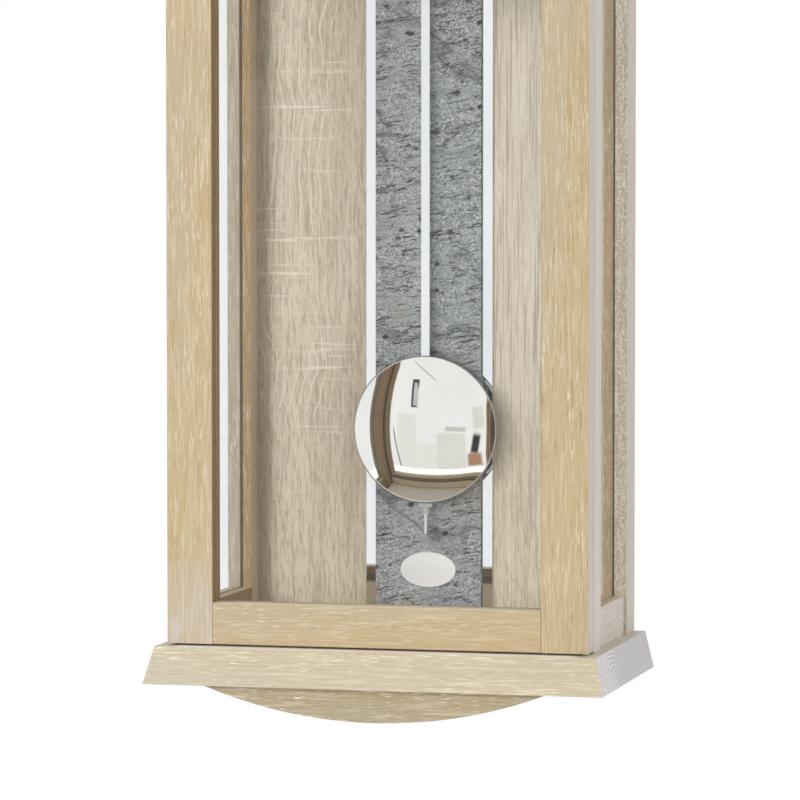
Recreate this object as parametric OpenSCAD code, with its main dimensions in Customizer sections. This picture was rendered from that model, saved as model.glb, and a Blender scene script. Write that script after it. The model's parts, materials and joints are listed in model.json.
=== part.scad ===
// Wall regulator clock: limed oak case with glazed door and sides, slate strip over a mirror,
// spring-driven pendulum movement behind a round dial. Millimetres, +Z up, the front faces -Y.
// The origin is the centre of the hole in the hanger plate, on the wall plane.

/* [Case] */
// Width across the door and the front posts
case_w = 300; // [290:1:330]
// Depth from the wall to the front of the door
case_d = 174; // [170:1:200]
// Height between the plinth and the cornice
body_h = 703; // [690:1:760]
// Distance of the hanger hole below the cornice
hook_drop = 20; // [18:0.5:22]
// Width of a front post
post_w = 25; // [22:0.5:28]
// Depth of a front post
post_d = 24; // [20:0.5:28]
// Thickness of the side rails
side_t = 18; // [15:0.5:20]
// Setback of the side rails behind the outer face of the posts
side_inset = 3; // [1:0.5:4]
// Height of the side rails
side_rail_h = 28; // [22:1:36]
// Thickness of the side glass
side_glass_t = 3; // [2:0.5:4]
// Depth of the grooves that hold the side glass
groove_d = 4; // [3:0.5:5]
// Play round the side glass in its groove
glass_play = 0.3; // [0.1:0.1:0.5]

/* [Plinth and cornice] */
// Overhang of the plinth past the case at its narrow face
ledge = 7; // [4:0.5:12]
// Overhang of the narrow face in front of the door
front_ledge = 8; // [5:0.5:12]
// Extra overhang gained over the bevel at the sides
bevel_side = 6.5; // [3:0.5:10]
// Extra overhang gained over the bevel at the front
bevel_front = 8; // [4:0.5:12]
// Height of the plinth and of the cornice
slab_h = 26; // [20:1:34]
// Width of the curved apron along the plinth
apron_w = 248; // [200:1:280]
// Depth of the apron at its middle
apron_h = 23.5; // [12:0.5:40]
// Thickness of the apron
apron_t = 18; // [12:0.5:22]

/* [Back] */
// Depth of the back frame
back_d = 30; // [28:0.5:36]
// Width of the back frame seen from the front
back_w = 19; // [16:0.5:24]
// Setback of the back frame behind the outer face of the posts
back_inset = 1; // [0:0.5:2]
// Height of the top rail of the back frame
back_top_h = 38; // [34:1:46]
// Height of the bottom rail of the back frame
back_bottom_h = 12; // [10:0.5:13]
// Depth of the rebate for the back panel, from the wall
rebate_d = 12; // [10:0.5:14]
// Width of the rebate for the back panel
rebate_w = 6; // [5:0.5:7]
// Thickness of the back panel
panel_t = 5; // [4:0.5:6]
// Width of the mirror
mirror_w = 94; // [86:1:110]
// Thickness of the mirror
mirror_t = 2; // [1.5:0.5:3]
// Width of the slate strip
slate_w = 78.6; // [70:0.1:84]
// Thickness of the slate strip
slate_t = 3; // [2:0.5:4]
// Width of the oval plate on the slate
oval_w = 41; // [34:0.5:50]
// Height of the oval plate
oval_h = 25.4; // [20:0.2:30]
// Thickness of the oval plate
oval_t = 0.8; // [0.5:0.1:1.5]
// Height of the oval plate above the plinth
oval_z = 42.5; // [36:0.5:48]

/* [Door] */
// Thickness of the door frame
door_t = 20; // [18:0.5:22]
// Width of the door stiles
stile_w = 33; // [28:0.5:38]
// Height of the door rails
door_rail_h = 29; // [26:0.5:34]
// Gap between the closed door and the posts
door_gap = 0.8; // [0.8:0.1:1.5]
// Gap above and below the door
door_clear = 1.5; // [1:0.1:2.5]
// Thickness of the door glass
door_glass_t = 3; // [2:0.5:4]
// Depth of the glass rebate from the inside of the door
door_rebate_d = 10; // [9:0.5:11]
// Width of the glass rebate
door_rebate_w = 6; // [5:0.5:8]
// Bevel on the front edges of the door frame
door_edge = 0.6; // [0.3:0.1:1.5]
// Distance of the pivot from the outer side of the door
pivot_side = 3.5; // [3:0.1:3.5]
// Distance of the pivot from the inner face of the door
pivot_rear = 11; // [10.5:0.5:12]
// Radius of the pivot pins
pivot_r = 1.5; // [1.2:0.1:1.6]
// Length of a pivot pin in the wood on each side of the gap
pivot_len = 10; // [8:1:14]

/* [Dial and hands] */
// Distance of the dial centre below the cornice
dial_drop = 143; // [130:1:160]
// Radius of the dial plate
dial_r = 95; // [94:0.5:105]
// Thickness of the dial plate
dial_t = 1.5; // [1:0.1:2]
// Width of the bezel outside the dial plate
bezel_w = 3; // [2:0.5:5]
// Height of the bezel in front of the dial
bezel_h = 2.5; // [1.5:0.5:4]
// Length of the hour marks
mark_l = 14; // [8:1:20]
// Width of the hour marks
mark_w = 3; // [2:0.5:5]
// Thickness of the hour marks
mark_t = 0.8; // [0.5:0.1:1.5]
// Length of the minute hand
minute_l = 80; // [60:1:88]
// Length of the hour hand
hour_l = 56; // [40:1:66]
// Thickness of the hands
hand_t = 0.9; // [0.6:0.1:1.2]

/* [Movement] */
// Thickness of the movement plates
plate_t = 2; // [1.5:0.1:2.5]
// Space between the movement plates
plate_gap = 36; // [36:0.5:42]
// Width of the movement plates
plate_w = 80; // [78:1:84]
// Radius of the pillars between the plates
pillar_r = 3; // [2.5:0.1:3.5]
// Radius of the posts that carry the movement
post_r = 3.5; // [3:0.1:4]
// Space between the front plate and the dial
motion_room = 14.5; // [14:0.5:18]
// Space between the rear plate and the middle of the pendulum rod
crutch_room = 11; // [10.5:0.5:13]
// Radial play of a pivot in its hole
pivot_play = 0.05; // [0.03:0.01:0.08]
// Radius of the pivots of the train
train_pivot_r = 0.8; // [0.6:0.1:0.9]
// Thickness of the train wheels
wheel_t = 1.5; // [1.2:0.1:1.8]
// Radius of the spring barrel
barrel_r = 28.5; // [26:0.1:28.5]
// Length of the spring barrel
barrel_l = 18; // [14:0.5:18]
// Radius of the winding arbor
winding_r = 3; // [2.6:0.1:3.2]

/* [Train] */
// Teeth of the barrel
barrel_n = 84; // [84]
// Teeth of the second wheel
second_n = 60; // [60]
// Teeth of the centre wheel
centre_n = 72; // [72]
// Teeth of the third wheel
third_n = 80; // [80]
// Teeth of the escape wheel
escape_n = 30; // [30]
// Radius of the escape wheel
escape_r = 12; // [11.5:0.1:12.2]
// Distance that the pallets keep from the escape wheel
pallet_gap = 0.8; // [0.75:0.05:0.9]
// Leaves of the second and centre pinions
slow_leaves = 12; // [12]
// Leaves of the third and escape pinions
fast_leaves = 8; // [8]

/* [Pendulum] */
// Length from the suspension to the middle of the bob
pend_l = 456; // [440:1:470]
// Space between the slate and the middle of the rod
pend_gap = 8; // [7.5:0.1:9]
// Width of the pendulum rod
rod_w = 6.2; // [5:0.1:8]
// Thickness of the pendulum rod
rod_t = 2; // [1.5:0.1:2.4]
// Radius of the bob
bob_r = 53.3; // [46:0.1:58]
// Rise of the convex bob face
bob_rise = 10.5; // [7:0.5:11]
// Thickness of the bob sheet
sheet_t = 0.8; // [0.6:0.1:1]
// Play of the bob on the rod
bob_play = 0.35; // [0.3:0.05:0.5]
// Radius of the threaded end
stud_r = 1.2; // [1:0.1:1.6]
// Radius of the rating nut
nut_r = 4.8; // [4.2:0.1:6.5]
// Thickness of the rim of the rating nut
nut_h = 2.6; // [2:0.1:3.5]

/* [Hidden] */

$fn = 96;
cut = 1;               // run of a cutter past the face that it leaves
oak = "#d6c4a2";
oak_dark = "#c3ad88";
steel = "#c9ccce";
brass = "#c9a758";
nickel = "#dfe3e4";
dark_steel = "#6d7073";

// Heights
top_z = hook_drop;
bot_z = top_z - body_h;
door_lo = bot_z + door_clear;
door_hi = top_z - door_clear;
dial_z = top_z - dial_drop;

// Depths, from the door back to the wall
door_front = -case_d;
door_rear = door_front + door_t;
post_front = door_rear + door_gap;
post_rear = post_front + post_d;
frame_front = -back_d;
panel_front = -rebate_d;
mirror_front = panel_front - mirror_t;
slate_front = mirror_front - slate_t;
pend_y = slate_front - pend_gap;
rear_plate_y = pend_y - crutch_room;
rear_inner = rear_plate_y - plate_t;
front_inner = rear_inner - plate_gap;
front_plate_y = front_inner - plate_t;
dial_rear = front_plate_y - motion_room;
dial_front = dial_rear - dial_t;

// Widths
half_w = case_w / 2;
side_x = half_w - side_inset;
side_mid = side_x - side_t / 2;
back_x = half_w - back_inset;
back_in = back_x - back_w;
opening_x = half_w - stile_w;
pivot_x = half_w - pivot_side;
pivot_y = door_rear - pivot_rear;
wood_clear = 0.1;      // play round screws in wood and in plates
thread_play = 0.1;
seat_play = 0.03;      // play of a hub on its pipe or arbor

module block(lo, hi) {
    translate(lo) cube(hi - lo);
}

module rod_y(p, y0, y1, r) {
    translate([p[0], y0, p[1]]) rotate([-90, 0, 0]) cylinder(h = y1 - y0, r = r);
}

module rod_z(x, y, z0, z1, r) {
    translate([x, y, z0]) cylinder(h = z1 - z0, r = r);
}

// A flat shape drawn in X and Z, its rear face at y
module plate_at(y, t) {
    translate([0, y, 0]) rotate([90, 0, 0]) linear_extrude(height = t) children();
}

// Plinth, apron and cornice
module bevel_slab() {
    narrow = half_w + ledge;
    wide = narrow + bevel_side;
    near = case_d + front_ledge;
    far = near + bevel_front;
    intersection() {
        translate([0, 0, 0]) rotate([90, 0, 0]) linear_extrude(height = far)
            polygon([[-narrow, 0], [-wide, -slab_h], [wide, -slab_h], [narrow, 0]]);
        translate([-wide, 0, 0]) rotate([90, 0, 90]) linear_extrude(height = 2 * wide)
            polygon([[0, 0], [0, -slab_h], [-far, -slab_h], [-near, 0]]);
    }
}

screw_r = 2;
screw_head_r = 4;
screw_l = 44;
screw_spots = [
    [half_w - post_w / 2, post_front + post_d / 2],
    [back_in + (back_w - rebate_w) / 2 + 1, frame_front + rebate_d]];

// A countersunk screw that points up, its head flush at z 0, grown by g for its hole
module wood_screw(r, head_r, l, g = 0) {
    translate([0, 0, -g]) cylinder(h = head_r - r + g, r1 = head_r + g, r2 = r + g);
    cylinder(h = l - r + g, r = r + g);
    translate([0, 0, l - r + g]) cylinder(h = r, r1 = r + g, r2 = 0.2);
}

module each_case_screw() {
    for (s = screw_spots, side = [-1, 1]) {
        translate([side * s[0], s[1], bot_z - slab_h]) children();
        translate([side * s[0], s[1], top_z + slab_h]) rotate([180, 0, 0]) children();
    }
}

module case_screw_holes() {
    each_case_screw() wood_screw(screw_r, screw_head_r, screw_l, wood_clear);
}

module pivot_holes(r) {
    rod_z(pivot_x, pivot_y, bot_z - pivot_len, door_lo + pivot_len, r);
    rod_z(pivot_x, pivot_y, door_hi - pivot_len, top_z + pivot_len, r);
}

module plinth() {
    color(oak) difference() {
        translate([0, 0, bot_z]) bevel_slab();
        case_screw_holes();
        pivot_holes(pivot_r);
    }
}

module cornice() {
    color(oak) difference() {
        translate([0, 0, top_z]) mirror([0, 0, 1]) bevel_slab();
        case_screw_holes();
        pivot_holes(pivot_r);
    }
}

module apron() {
    arc_r = (pow(apron_w / 2, 2) + pow(apron_h, 2)) / (2 * apron_h);
    y0 = -case_d - front_ledge + 1;
    z0 = bot_z - slab_h;
    color(oak) intersection() {
        rod_y([0, z0 - apron_h + arc_r], y0, y0 + apron_t, arc_r, $fn = 360);
        block([-apron_w, y0 - cut, z0 - 2 * apron_h], [apron_w, y0 + apron_t + cut, z0]);
    }
}

// Posts, side rails and side glass
glass_lo = bot_z + side_rail_h - groove_d;
glass_hi = top_z - side_rail_h + groove_d;

module side_groove(side) {
    t = side_glass_t / 2 + glass_play;
    block([side * side_mid - t, post_rear - groove_d, glass_lo],
        [side * side_mid + t, frame_front + groove_d, glass_hi]);
}

magnet_r = 4;
magnet_l = 6;
catch_x = -(half_w - post_w / 2);
catch_z = dial_z - dial_r - 2 * magnet_r;

module front_post(side) {
    x0 = side > 0 ? half_w - post_w : -half_w;
    difference() {
        block([x0, post_front, bot_z], [x0 + post_w, post_rear, top_z]);
        side_groove(side);
        case_screw_holes();
        if (side < 0) rod_y([catch_x, catch_z], post_front - cut, post_front + magnet_l, magnet_r);
    }
}

module left_front_post() { color(oak) front_post(-1); }

module right_front_post() { color(oak) front_post(1); }

module side_rails() {
    color(oak) for (side = [-1, 1], z = [bot_z, top_z - side_rail_h]) difference() {
        block([side * side_mid - side_t / 2, post_rear, z],
            [side * side_mid + side_t / 2, frame_front, z + side_rail_h]);
        side_groove(side);
    }
}

module side_glass() {
    color("#dfe9ea", 0.35) for (side = [-1, 1])
        block([side * side_mid - side_glass_t / 2, post_rear - groove_d + glass_play,
                glass_lo + glass_play],
            [side * side_mid + side_glass_t / 2, frame_front + groove_d - glass_play,
                glass_hi - glass_play]);
}

// Back frame, panel, mirror and slate
panel_x = back_in + rebate_w - glass_play;
panel_screw_r = 1.3;
panel_screw_head = 2.6;
panel_screw_l = 14;
panel_screw_n = 4;
panel_rear = panel_front + panel_t;

module each_panel_screw() {
    run = body_h - back_top_h;
    for (side = [-1, 1], i = [0 : panel_screw_n - 1])
        translate([side * (back_in + rebate_w / 2), panel_rear,
                bot_z + run * (i + 0.5) / panel_screw_n])
            rotate([90, 0, 0]) children();
}

module round_screw(r, head_r, l, g = 0) {
    translate([0, 0, -head_r / 2]) cylinder(h = head_r / 2, r = head_r);
    cylinder(h = l + g, r = r + g);
}

module panel_screw_holes() {
    each_panel_screw() cylinder(h = panel_screw_l + wood_clear, r = panel_screw_r + wood_clear);
}

module back_stile(side) {
    difference() {
        translate([0, 0, bot_z]) linear_extrude(height = body_h) polygon([
            [side * back_in, frame_front], [side * back_x, frame_front], [side * back_x, 0],
            [side * (back_in + rebate_w), 0], [side * (back_in + rebate_w), panel_front],
            [side * back_in, panel_front]]);
        side_groove(side);
        case_screw_holes();
        panel_screw_holes();
    }
}

module left_back_stile() { color(oak) back_stile(-1); }

module right_back_stile() { color(oak) back_stile(1); }

hanger_w = 60;
hanger_h = 24;
hanger_t = 2;
hanger_r = 4.5;
hanger_pocket = 14;
hanger_screw_x = 22;

module hanger_shape(play) {
    block([-hanger_w / 2 - play, -hanger_t, -hanger_h / 2 - play],
        [hanger_w / 2 + play, 0, hanger_h / 2 + play]);
}

module each_hanger_screw() {
    for (side = [-1, 1]) translate([side * hanger_screw_x, 0, 0]) rotate([90, 0, 0]) children();
}

module back_top_rail() {
    color(oak) difference() {
        rotate([90, 0, 90]) translate([0, 0, -back_in]) linear_extrude(height = 2 * back_in)
            polygon([[frame_front, top_z - back_top_h], [frame_front, top_z], [0, top_z],
                [0, top_z - back_top_h + rebate_w], [panel_front, top_z - back_top_h + rebate_w],
                [panel_front, top_z - back_top_h]]);
        hanger_shape(0.2);
        rod_y([0, 0], -hanger_pocket, cut, hanger_r + 4);
        each_hanger_screw() wood_screw(panel_screw_r, panel_screw_head, panel_screw_l, wood_clear);
    }
}

module back_bottom_rail() {
    color(oak) block([-back_in, frame_front, bot_z], [back_in, panel_front, bot_z + back_bottom_h]);
}

module back_panel() {
    color(oak_dark) difference() {
        block([-panel_x, panel_front, bot_z],
            [panel_x, panel_rear, top_z - back_top_h + rebate_w - glass_play]);
        panel_screw_holes();
        each_movement_post()
            cylinder(h = 3 * panel_t, r = post_screw_r + wood_clear, center = true);
    }
}

strip_lo = bot_z + back_bottom_h;
strip_hi = dial_z - 0.76 * dial_r;

module mirror_strip() {
    color("#e8ecee") block([-mirror_w / 2, mirror_front, strip_lo],
        [mirror_w / 2, panel_front, strip_hi]);
}

module slate_strip() {
    color("#94999a") block([-slate_w / 2, slate_front, strip_lo],
        [slate_w / 2, mirror_front, strip_hi]);
}

module oval_plate() {
    color("#f4f5f3") translate([0, slate_front, bot_z + oval_z]) rotate([90, 0, 0])
        linear_extrude(height = oval_t) polygon([for (a = [0 : 6 : 354])
            [oval_w / 2 * cos(a), oval_h / 2 * sin(a)]]);
}

module hanger_plate() {
    color(steel) difference() {
        hanger_shape(0);
        rod_y([0, 0], -hanger_t - cut, cut, hanger_r);
        each_hanger_screw() wood_screw(panel_screw_r, panel_screw_head, panel_screw_l, wood_clear);
    }
}

module case_screws() {
    color(steel) each_case_screw() wood_screw(screw_r, screw_head_r, screw_l);
}

module panel_screws() {
    color(steel) {
        each_panel_screw() round_screw(panel_screw_r, panel_screw_head, panel_screw_l);
        each_hanger_screw() wood_screw(panel_screw_r, panel_screw_head, panel_screw_l);
    }
}

// Door
module pivot_pins() {
    flange_r = 2 * pivot_r;
    play = 0.3;
    color(steel) {
        rod_z(pivot_x, pivot_y, bot_z - pivot_len, door_lo + pivot_len - play, pivot_r);
        rod_z(pivot_x, pivot_y, bot_z, door_lo - play, flange_r);
        rod_z(pivot_x, pivot_y, door_hi - pivot_len + play, top_z + pivot_len, pivot_r);
        rod_z(pivot_x, pivot_y, door_hi + play, top_z, flange_r);
    }
}

module catch_magnet() {
    color(dark_steel) rod_y([catch_x, catch_z], post_front, post_front + magnet_l, magnet_r);
}

// Section of a door member: x runs from the outer edge to the glass, y from the front
function door_section(w) = [
    [0, door_edge], [door_edge, 0], [w - door_edge, 0], [w, door_edge],
    [w, door_t - door_rebate_d], [w - door_rebate_w, door_t - door_rebate_d],
    [w - door_rebate_w, door_t], [0, door_t]];

strike_t = 1.2;
strike_r = 5;

module door_stile(side) {
    difference() {
        translate([side * half_w, door_front, door_lo]) linear_extrude(height = door_hi - door_lo)
            polygon([for (p = door_section(stile_w)) [-side * p[0], p[1]]]);
        if (side > 0) pivot_holes(pivot_r + pivot_play);
        if (side < 0) rod_y([catch_x, catch_z], door_rear - strike_t, door_rear + cut, strike_r);
    }
}

module door_rail(up) {
    z0 = up > 0 ? door_lo : door_hi;
    translate([-opening_x, 0, 0]) rotate([90, 0, 90]) linear_extrude(height = 2 * opening_x)
        polygon([for (p = door_section(door_rail_h)) [door_front + p[1], z0 + up * p[0]]]);
}

module door_left_stile() { color(oak) door_stile(-1); }

module door_right_stile() { color(oak) door_stile(1); }

module door_bottom_rail() {
    color(oak) {
        door_rail(1);
        rail_tongues(door_lo, door_lo + door_rail_h - door_rebate_w);
    }
}

module door_top_rail() {
    color(oak) {
        door_rail(-1);
        rail_tongues(door_hi - door_rail_h + door_rebate_w, door_hi);
    }
}

// The rail ends run behind the glass rebate of the stiles
module rail_tongues(z0, z1) {
    for (side = [-1, 1]) block(
        [side > 0 ? opening_x : -opening_x - door_rebate_w, door_rear - door_rebate_d, z0],
        [side > 0 ? opening_x + door_rebate_w : -opening_x, door_rear, z1]);
}

glass_front = door_rear - door_rebate_d;
glass_rear = glass_front + door_glass_t;
glass_x = opening_x + door_rebate_w - glass_play;
door_glass_lo = door_lo + door_rail_h - door_rebate_w + glass_play;
door_glass_hi = door_hi - door_rail_h + door_rebate_w - glass_play;

module door_glass() {
    color("#dfe9ea", 0.35) block([-glass_x, glass_front, door_glass_lo],
        [glass_x, glass_rear, door_glass_hi]);
}

module glazing_beads() {
    bead = door_rebate_w - glass_play;
    color(oak) {
        for (side = [-1, 1]) block(
            [side > 0 ? glass_x - bead : -glass_x, glass_rear, door_glass_lo],
            [side > 0 ? glass_x : -glass_x + bead, door_rear, door_glass_hi]);
        for (z = [door_glass_lo, door_glass_hi - bead])
            block([-glass_x + bead, glass_rear, z], [glass_x - bead, door_rear, z + bead]);
    }
}

module strike_disc() {
    color(steel) rod_y([catch_x, catch_z], door_rear - strike_t, door_rear, strike_r);
}

// Train layout, in X and Z from the centre of the dial
slow_m = 0.75;         // module of the barrel teeth
second_m = 0.65;
centre_m = 0.55;
third_m = 0.48;
slow_gap = (barrel_n + slow_leaves) * slow_m / 2;
second_gap = (second_n + slow_leaves) * second_m / 2;
centre_gap = (centre_n + fast_leaves) * centre_m / 2;
third_gap = (third_n + fast_leaves) * third_m / 2;
anchor_up = escape_r * sqrt(2);

// The corner of a triangle over two points on the Z axis, at distance a from the first
// and b from the second, on the given side
function corner(z1, a, z2, b, side) =
    let (d = z2 - z1, u = (a * a - b * b + d * d) / (2 * d))
    [side * sqrt(a * a - u * u), z1 + u];

centre_at = [0, 0];
barrel_at = [0, -50];
escape_at = [0, 24];
second_at = corner(0, second_gap, barrel_at[1], slow_gap, -1);
third_at = corner(0, centre_gap, escape_at[1], third_gap, 1);
anchor_at = [0, escape_at[1] + anchor_up];
minute_at = 12 * [cos(150), sin(150)];
anchor_z = dial_z + anchor_at[1];
bob_z = anchor_z - pend_l;

function bearing(a, b) = atan2(b[1] - a[1], b[0] - a[0]);
// Turn of the second gear that puts its gap opposite the tooth of the first
function mesh_turn(a, b, n1, turn1, n2) =
    let (t = bearing(a, b), u = (t - turn1) * n1 / 360)
    t + 180 - (0.5 - (u - floor(u))) * 360 / n2;

second_leaf_turn = mesh_turn(barrel_at, second_at, barrel_n, 0, slow_leaves);
centre_leaf_turn = mesh_turn(second_at, centre_at, second_n, 0, slow_leaves);
third_leaf_turn = mesh_turn(centre_at, third_at, centre_n, 0, fast_leaves);
escape_leaf_turn = mesh_turn(third_at, escape_at, third_n, 0, fast_leaves);
cannon_n = 12;
minute_n = 36;
minute_leaves = 10;
hour_n = 40;
cannon_m = 0.5;
hour_m = 0.48;
minute_turn = mesh_turn(centre_at, minute_at, cannon_n, 0, minute_n);
hour_turn = mesh_turn(minute_at, centre_at, minute_leaves, 0, hour_n);

// Outline of a gear: radial flanks below the pitch circle and an ogive above it
function tooth(r, m, w, up, down) = [
    [r - down * m, -w], [r, -w], [r + 0.55 * up * m, -0.66 * w], [r + up * m, -0.16 * w],
    [r + up * m, 0.16 * w], [r + 0.55 * up * m, 0.66 * w], [r, w], [r - down * m, w]];
module gear(n, m, fill, up, down) {
    polygon([for (i = [0 : n - 1], p = tooth(n * m / 2, m, 90 * fill / n, up, down))
        let (a = i * 360 / n + p[1]) [p[0] * cos(a), p[0] * sin(a)]]);
}
module wheel_outline(n, m) { gear(n, m, 0.92, 1.05, 1.3); }
module pinion_outline(n, m) { gear(n, m, 0.7, 0.75, 1.45); }

// A crossed-out wheel: toothed rim, hub and arms, its rear face at y
module crossed_wheel(p, y, t, n, m, hub_r, arms, turn = 0) {
    rim_r = n * m / 2 - 1.3 * m - 2.2;
    arm_w = 1.8;
    translate([p[0], y, p[1]]) rotate([90, 0, 0]) rotate(turn) {
        difference() {
            linear_extrude(height = t) wheel_outline(n, m);
            translate([0, 0, -cut]) cylinder(h = t + 2 * cut, r = rim_r);
        }
        cylinder(h = t, r = hub_r);
        for (i = [1 : arms]) rotate((i - 0.4) * 360 / arms)
            translate([0, -arm_w / 2, 0]) cube([rim_r + 0.4, arm_w, t]);
    }
}

module pinion(p, y, t, n, m, turn) {
    translate([p[0], y, p[1]]) rotate([90, 0, 0]) rotate(turn)
        linear_extrude(height = t) pinion_outline(n, m);
}

// An arbor with thin pivots through both plates
module arbor(p, r) {
    rod_y(p, front_inner + 0.4, rear_inner - 0.4, r);
    rod_y(p, front_plate_y - 0.5, rear_plate_y + 0.5, train_pivot_r);
}

at_dial = [0, 0, dial_z];
barrel_wheel_y = rear_inner - 9;
second_wheel_y = rear_inner - 3;
centre_wheel_y = rear_inner - 20;
third_wheel_y = rear_inner - 27;
escape_wheel_y = rear_inner - 32;
barrel_tooth_t = 3;
centre_r = 1.75;
pillar_at = [[-33, 44], [33, 44], [-33, -77], [33, -77]];
post_at = [[-30, 36], [30, 36], [-30, -62], [30, -62]];
post_screw_r = 1.6;
plate_lo = -84;
plate_hi = 54;

module each_movement_post() {
    for (p = post_at) translate([p[0], panel_front, dial_z + p[1]]) rotate([90, 0, 0]) children();
}

// Movement plates
module plate_outline() {
    r = 6;
    w = plate_w / 2;
    polygon([for (c = [[w - r, plate_hi - r, 0], [-w + r, plate_hi - r, 90],
            [-w + r, plate_lo + r, 180], [w - r, plate_lo + r, 270]], a = [0 : 15 : 90])
        [c[0] + r * cos(c[2] + a), c[1] + r * sin(c[2] + a)]]);
}

module train_holes(y) {
    for (p = [second_at, third_at, escape_at, anchor_at])
        rod_y(p, y - cut, y + plate_t + cut, train_pivot_r + pivot_play);
    rod_y(barrel_at, y - cut, y + plate_t + cut, winding_r + pivot_play);
    rod_y(centre_at, y - cut, y + plate_t + cut, centre_r + pivot_play);
    for (p = pillar_at) rod_y(p, y - cut, y + plate_t + cut, post_screw_r + wood_clear);
}

module rear_plate() {
    color(brass) translate(at_dial) difference() {
        plate_at(rear_plate_y, plate_t) plate_outline();
        train_holes(rear_inner);
        for (p = post_at)
            rod_y(p, rear_inner - cut, rear_plate_y + cut, post_screw_r + wood_clear);
    }
}

click_at = barrel_at + [-17, 9];
click_stud_r = 1.6;
minute_stud_r = 1.2;

module headed_stud(p, l, r) {
    rod_y(p, front_plate_y - l, front_plate_y, r);
    rod_y(p, front_plate_y - l - 1, front_plate_y - l, r + 0.8);
}

module front_plate() {
    color(brass) translate(at_dial) {
        difference() {
            plate_at(front_inner, plate_t) plate_outline();
            train_holes(front_plate_y);
        }
        headed_stud(minute_at, 9, minute_stud_r);
        headed_stud(click_at, 3.4, click_stud_r);
    }
}

module plate_pillars() {
    color(brass) translate(at_dial) for (p = pillar_at) difference() {
        union() {
            rod_y(p, front_inner, rear_inner, pillar_r);
            for (y = [front_inner, rear_inner - 3]) rod_y(p, y, y + 3, pillar_r + 1);
        }
        rod_y(p, front_inner - cut, front_inner + 8, post_screw_r + thread_play);
        rod_y(p, rear_inner - 8, rear_inner + cut, post_screw_r + thread_play);
    }
}

module slotted_screw(l) {
    difference() {
        translate([0, 0, -1.6]) cylinder(h = 1.6, r = 2.8);
        translate([-3, -0.35, -2]) cube([6, 0.7, 1]);
    }
    cylinder(h = l, r = post_screw_r);
}

module plate_screws() {
    color(steel) {
        translate(at_dial) {
            for (p = pillar_at) {
                translate([p[0], front_plate_y, p[1]]) rotate([-90, 0, 0]) slotted_screw(plate_t + 6);
                translate([p[0], rear_plate_y, p[1]]) rotate([90, 0, 0]) slotted_screw(plate_t + 6);
            }
            for (p = post_at)
                translate([p[0], rear_inner, p[1]]) rotate([-90, 0, 0]) slotted_screw(plate_t + 6);
        }
        each_movement_post() translate([0, 0, -panel_t]) slotted_screw(panel_t + 6);
    }
}

module movement_posts() {
    len = panel_front - rear_plate_y;
    color(brass) each_movement_post() difference() {
        cylinder(h = len, r = post_r);
        translate([0, 0, -cut]) cylinder(h = 8 + cut, r = post_screw_r + thread_play);
        translate([0, 0, len - 8]) cylinder(h = 8 + cut, r = post_screw_r + thread_play);
    }
}

// Suspension, pendulum and bob
spring_t = 0.3;
spring_w = 5;
spring_up = 4;
spring_down = 12;
cock_slot = 1;
cock_w = 12;
hang_pin_r = 0.6;

module suspension_cock() {
    y1 = pend_y + spring_w / 2 + 1.5;
    color(brass) translate([0, 0, anchor_z]) {
        difference() {
            union() {
                block([-cock_w / 2, rear_plate_y, 4], [cock_w / 2, y1, 8]);
                block([-cock_w / 2, pend_y - spring_w / 2 - 2.5, 1], [cock_w / 2, y1, 4]);
                block([-cock_w / 2, rear_plate_y, 8], [cock_w / 2, rear_plate_y + 2, 12]);
            }
            block([-cock_slot / 2, pend_y - spring_w / 2 - 1, 1 - cut],
                [cock_slot / 2, pend_y + spring_w / 2 + 0.5, 6]);
        }
        translate([-cock_w / 2, pend_y, 3]) rotate([0, 90, 0]) cylinder(h = cock_w, r = hang_pin_r);
    }
}

leader_t = 1.6;
leader_front = pend_y + rod_t / 2;
leader_lo = -62;
hook_at = -54;
hook_r = 1.5;
chap_w = 3.2;
fork_at = -34;
crutch_pin_r = 1;

// Suspension spring with its brass end piece and the slotted leader that the rod hooks on
module suspension_spring() {
    color(brass) translate([0, 0, anchor_z]) {
        difference() {
            block([-spring_t / 2, pend_y - spring_w / 2, -spring_down],
                [spring_t / 2, pend_y + spring_w / 2, spring_up]);
            translate([-cut, pend_y, 3]) rotate([0, 90, 0]) cylinder(h = 2 * cut, r = hang_pin_r + 0.25);
        }
        block([-chap_w / 2, pend_y - spring_w / 2, -spring_down],
            [chap_w / 2, pend_y + spring_w / 2, -spring_down + 5]);
        difference() {
            block([-4, leader_front, leader_lo], [4, leader_front + leader_t, -spring_down + 1]);
            block([-crutch_pin_r - 0.25, leader_front - cut, fork_at - 5],
                [crutch_pin_r + 0.25, leader_front + leader_t + cut, fork_at + 5]);
        }
        rod_y([0, hook_at], leader_front - rod_t - 1, leader_front + leader_t, hook_r);
        rod_y([0, hook_at], leader_front - rod_t - 1, leader_front - rod_t, hook_r + 1);
    }
}

stud_lo = -75.5;
stud_hi = -40;

module pendulum_rod() {
    rod_hi = pend_l + leader_lo + 14;
    color(nickel) translate([0, 0, bob_z]) difference() {
        union() {
            block([-rod_w / 2, pend_y - rod_t / 2, stud_hi], [rod_w / 2, pend_y + rod_t / 2, rod_hi]);
            rod_z(0, pend_y, stud_lo, stud_hi + 0.01, stud_r);
        }
        rod_y([0, pend_l + hook_at], pend_y - rod_t, pend_y + rod_t, hook_r);
    }
}

rim_r = 0.6;
slot_d = max(rod_t / 2, stud_r) + bob_play;
rim_y = pend_y - slot_d - rim_r;
dome_r = (pow(bob_r - rim_r, 2) + pow(bob_rise, 2)) / (2 * bob_rise);
dome_y = rim_y - bob_rise + dome_r;
cup_y = pend_y + slot_d + 0.4;
weight_r = bob_r - 4;

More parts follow.
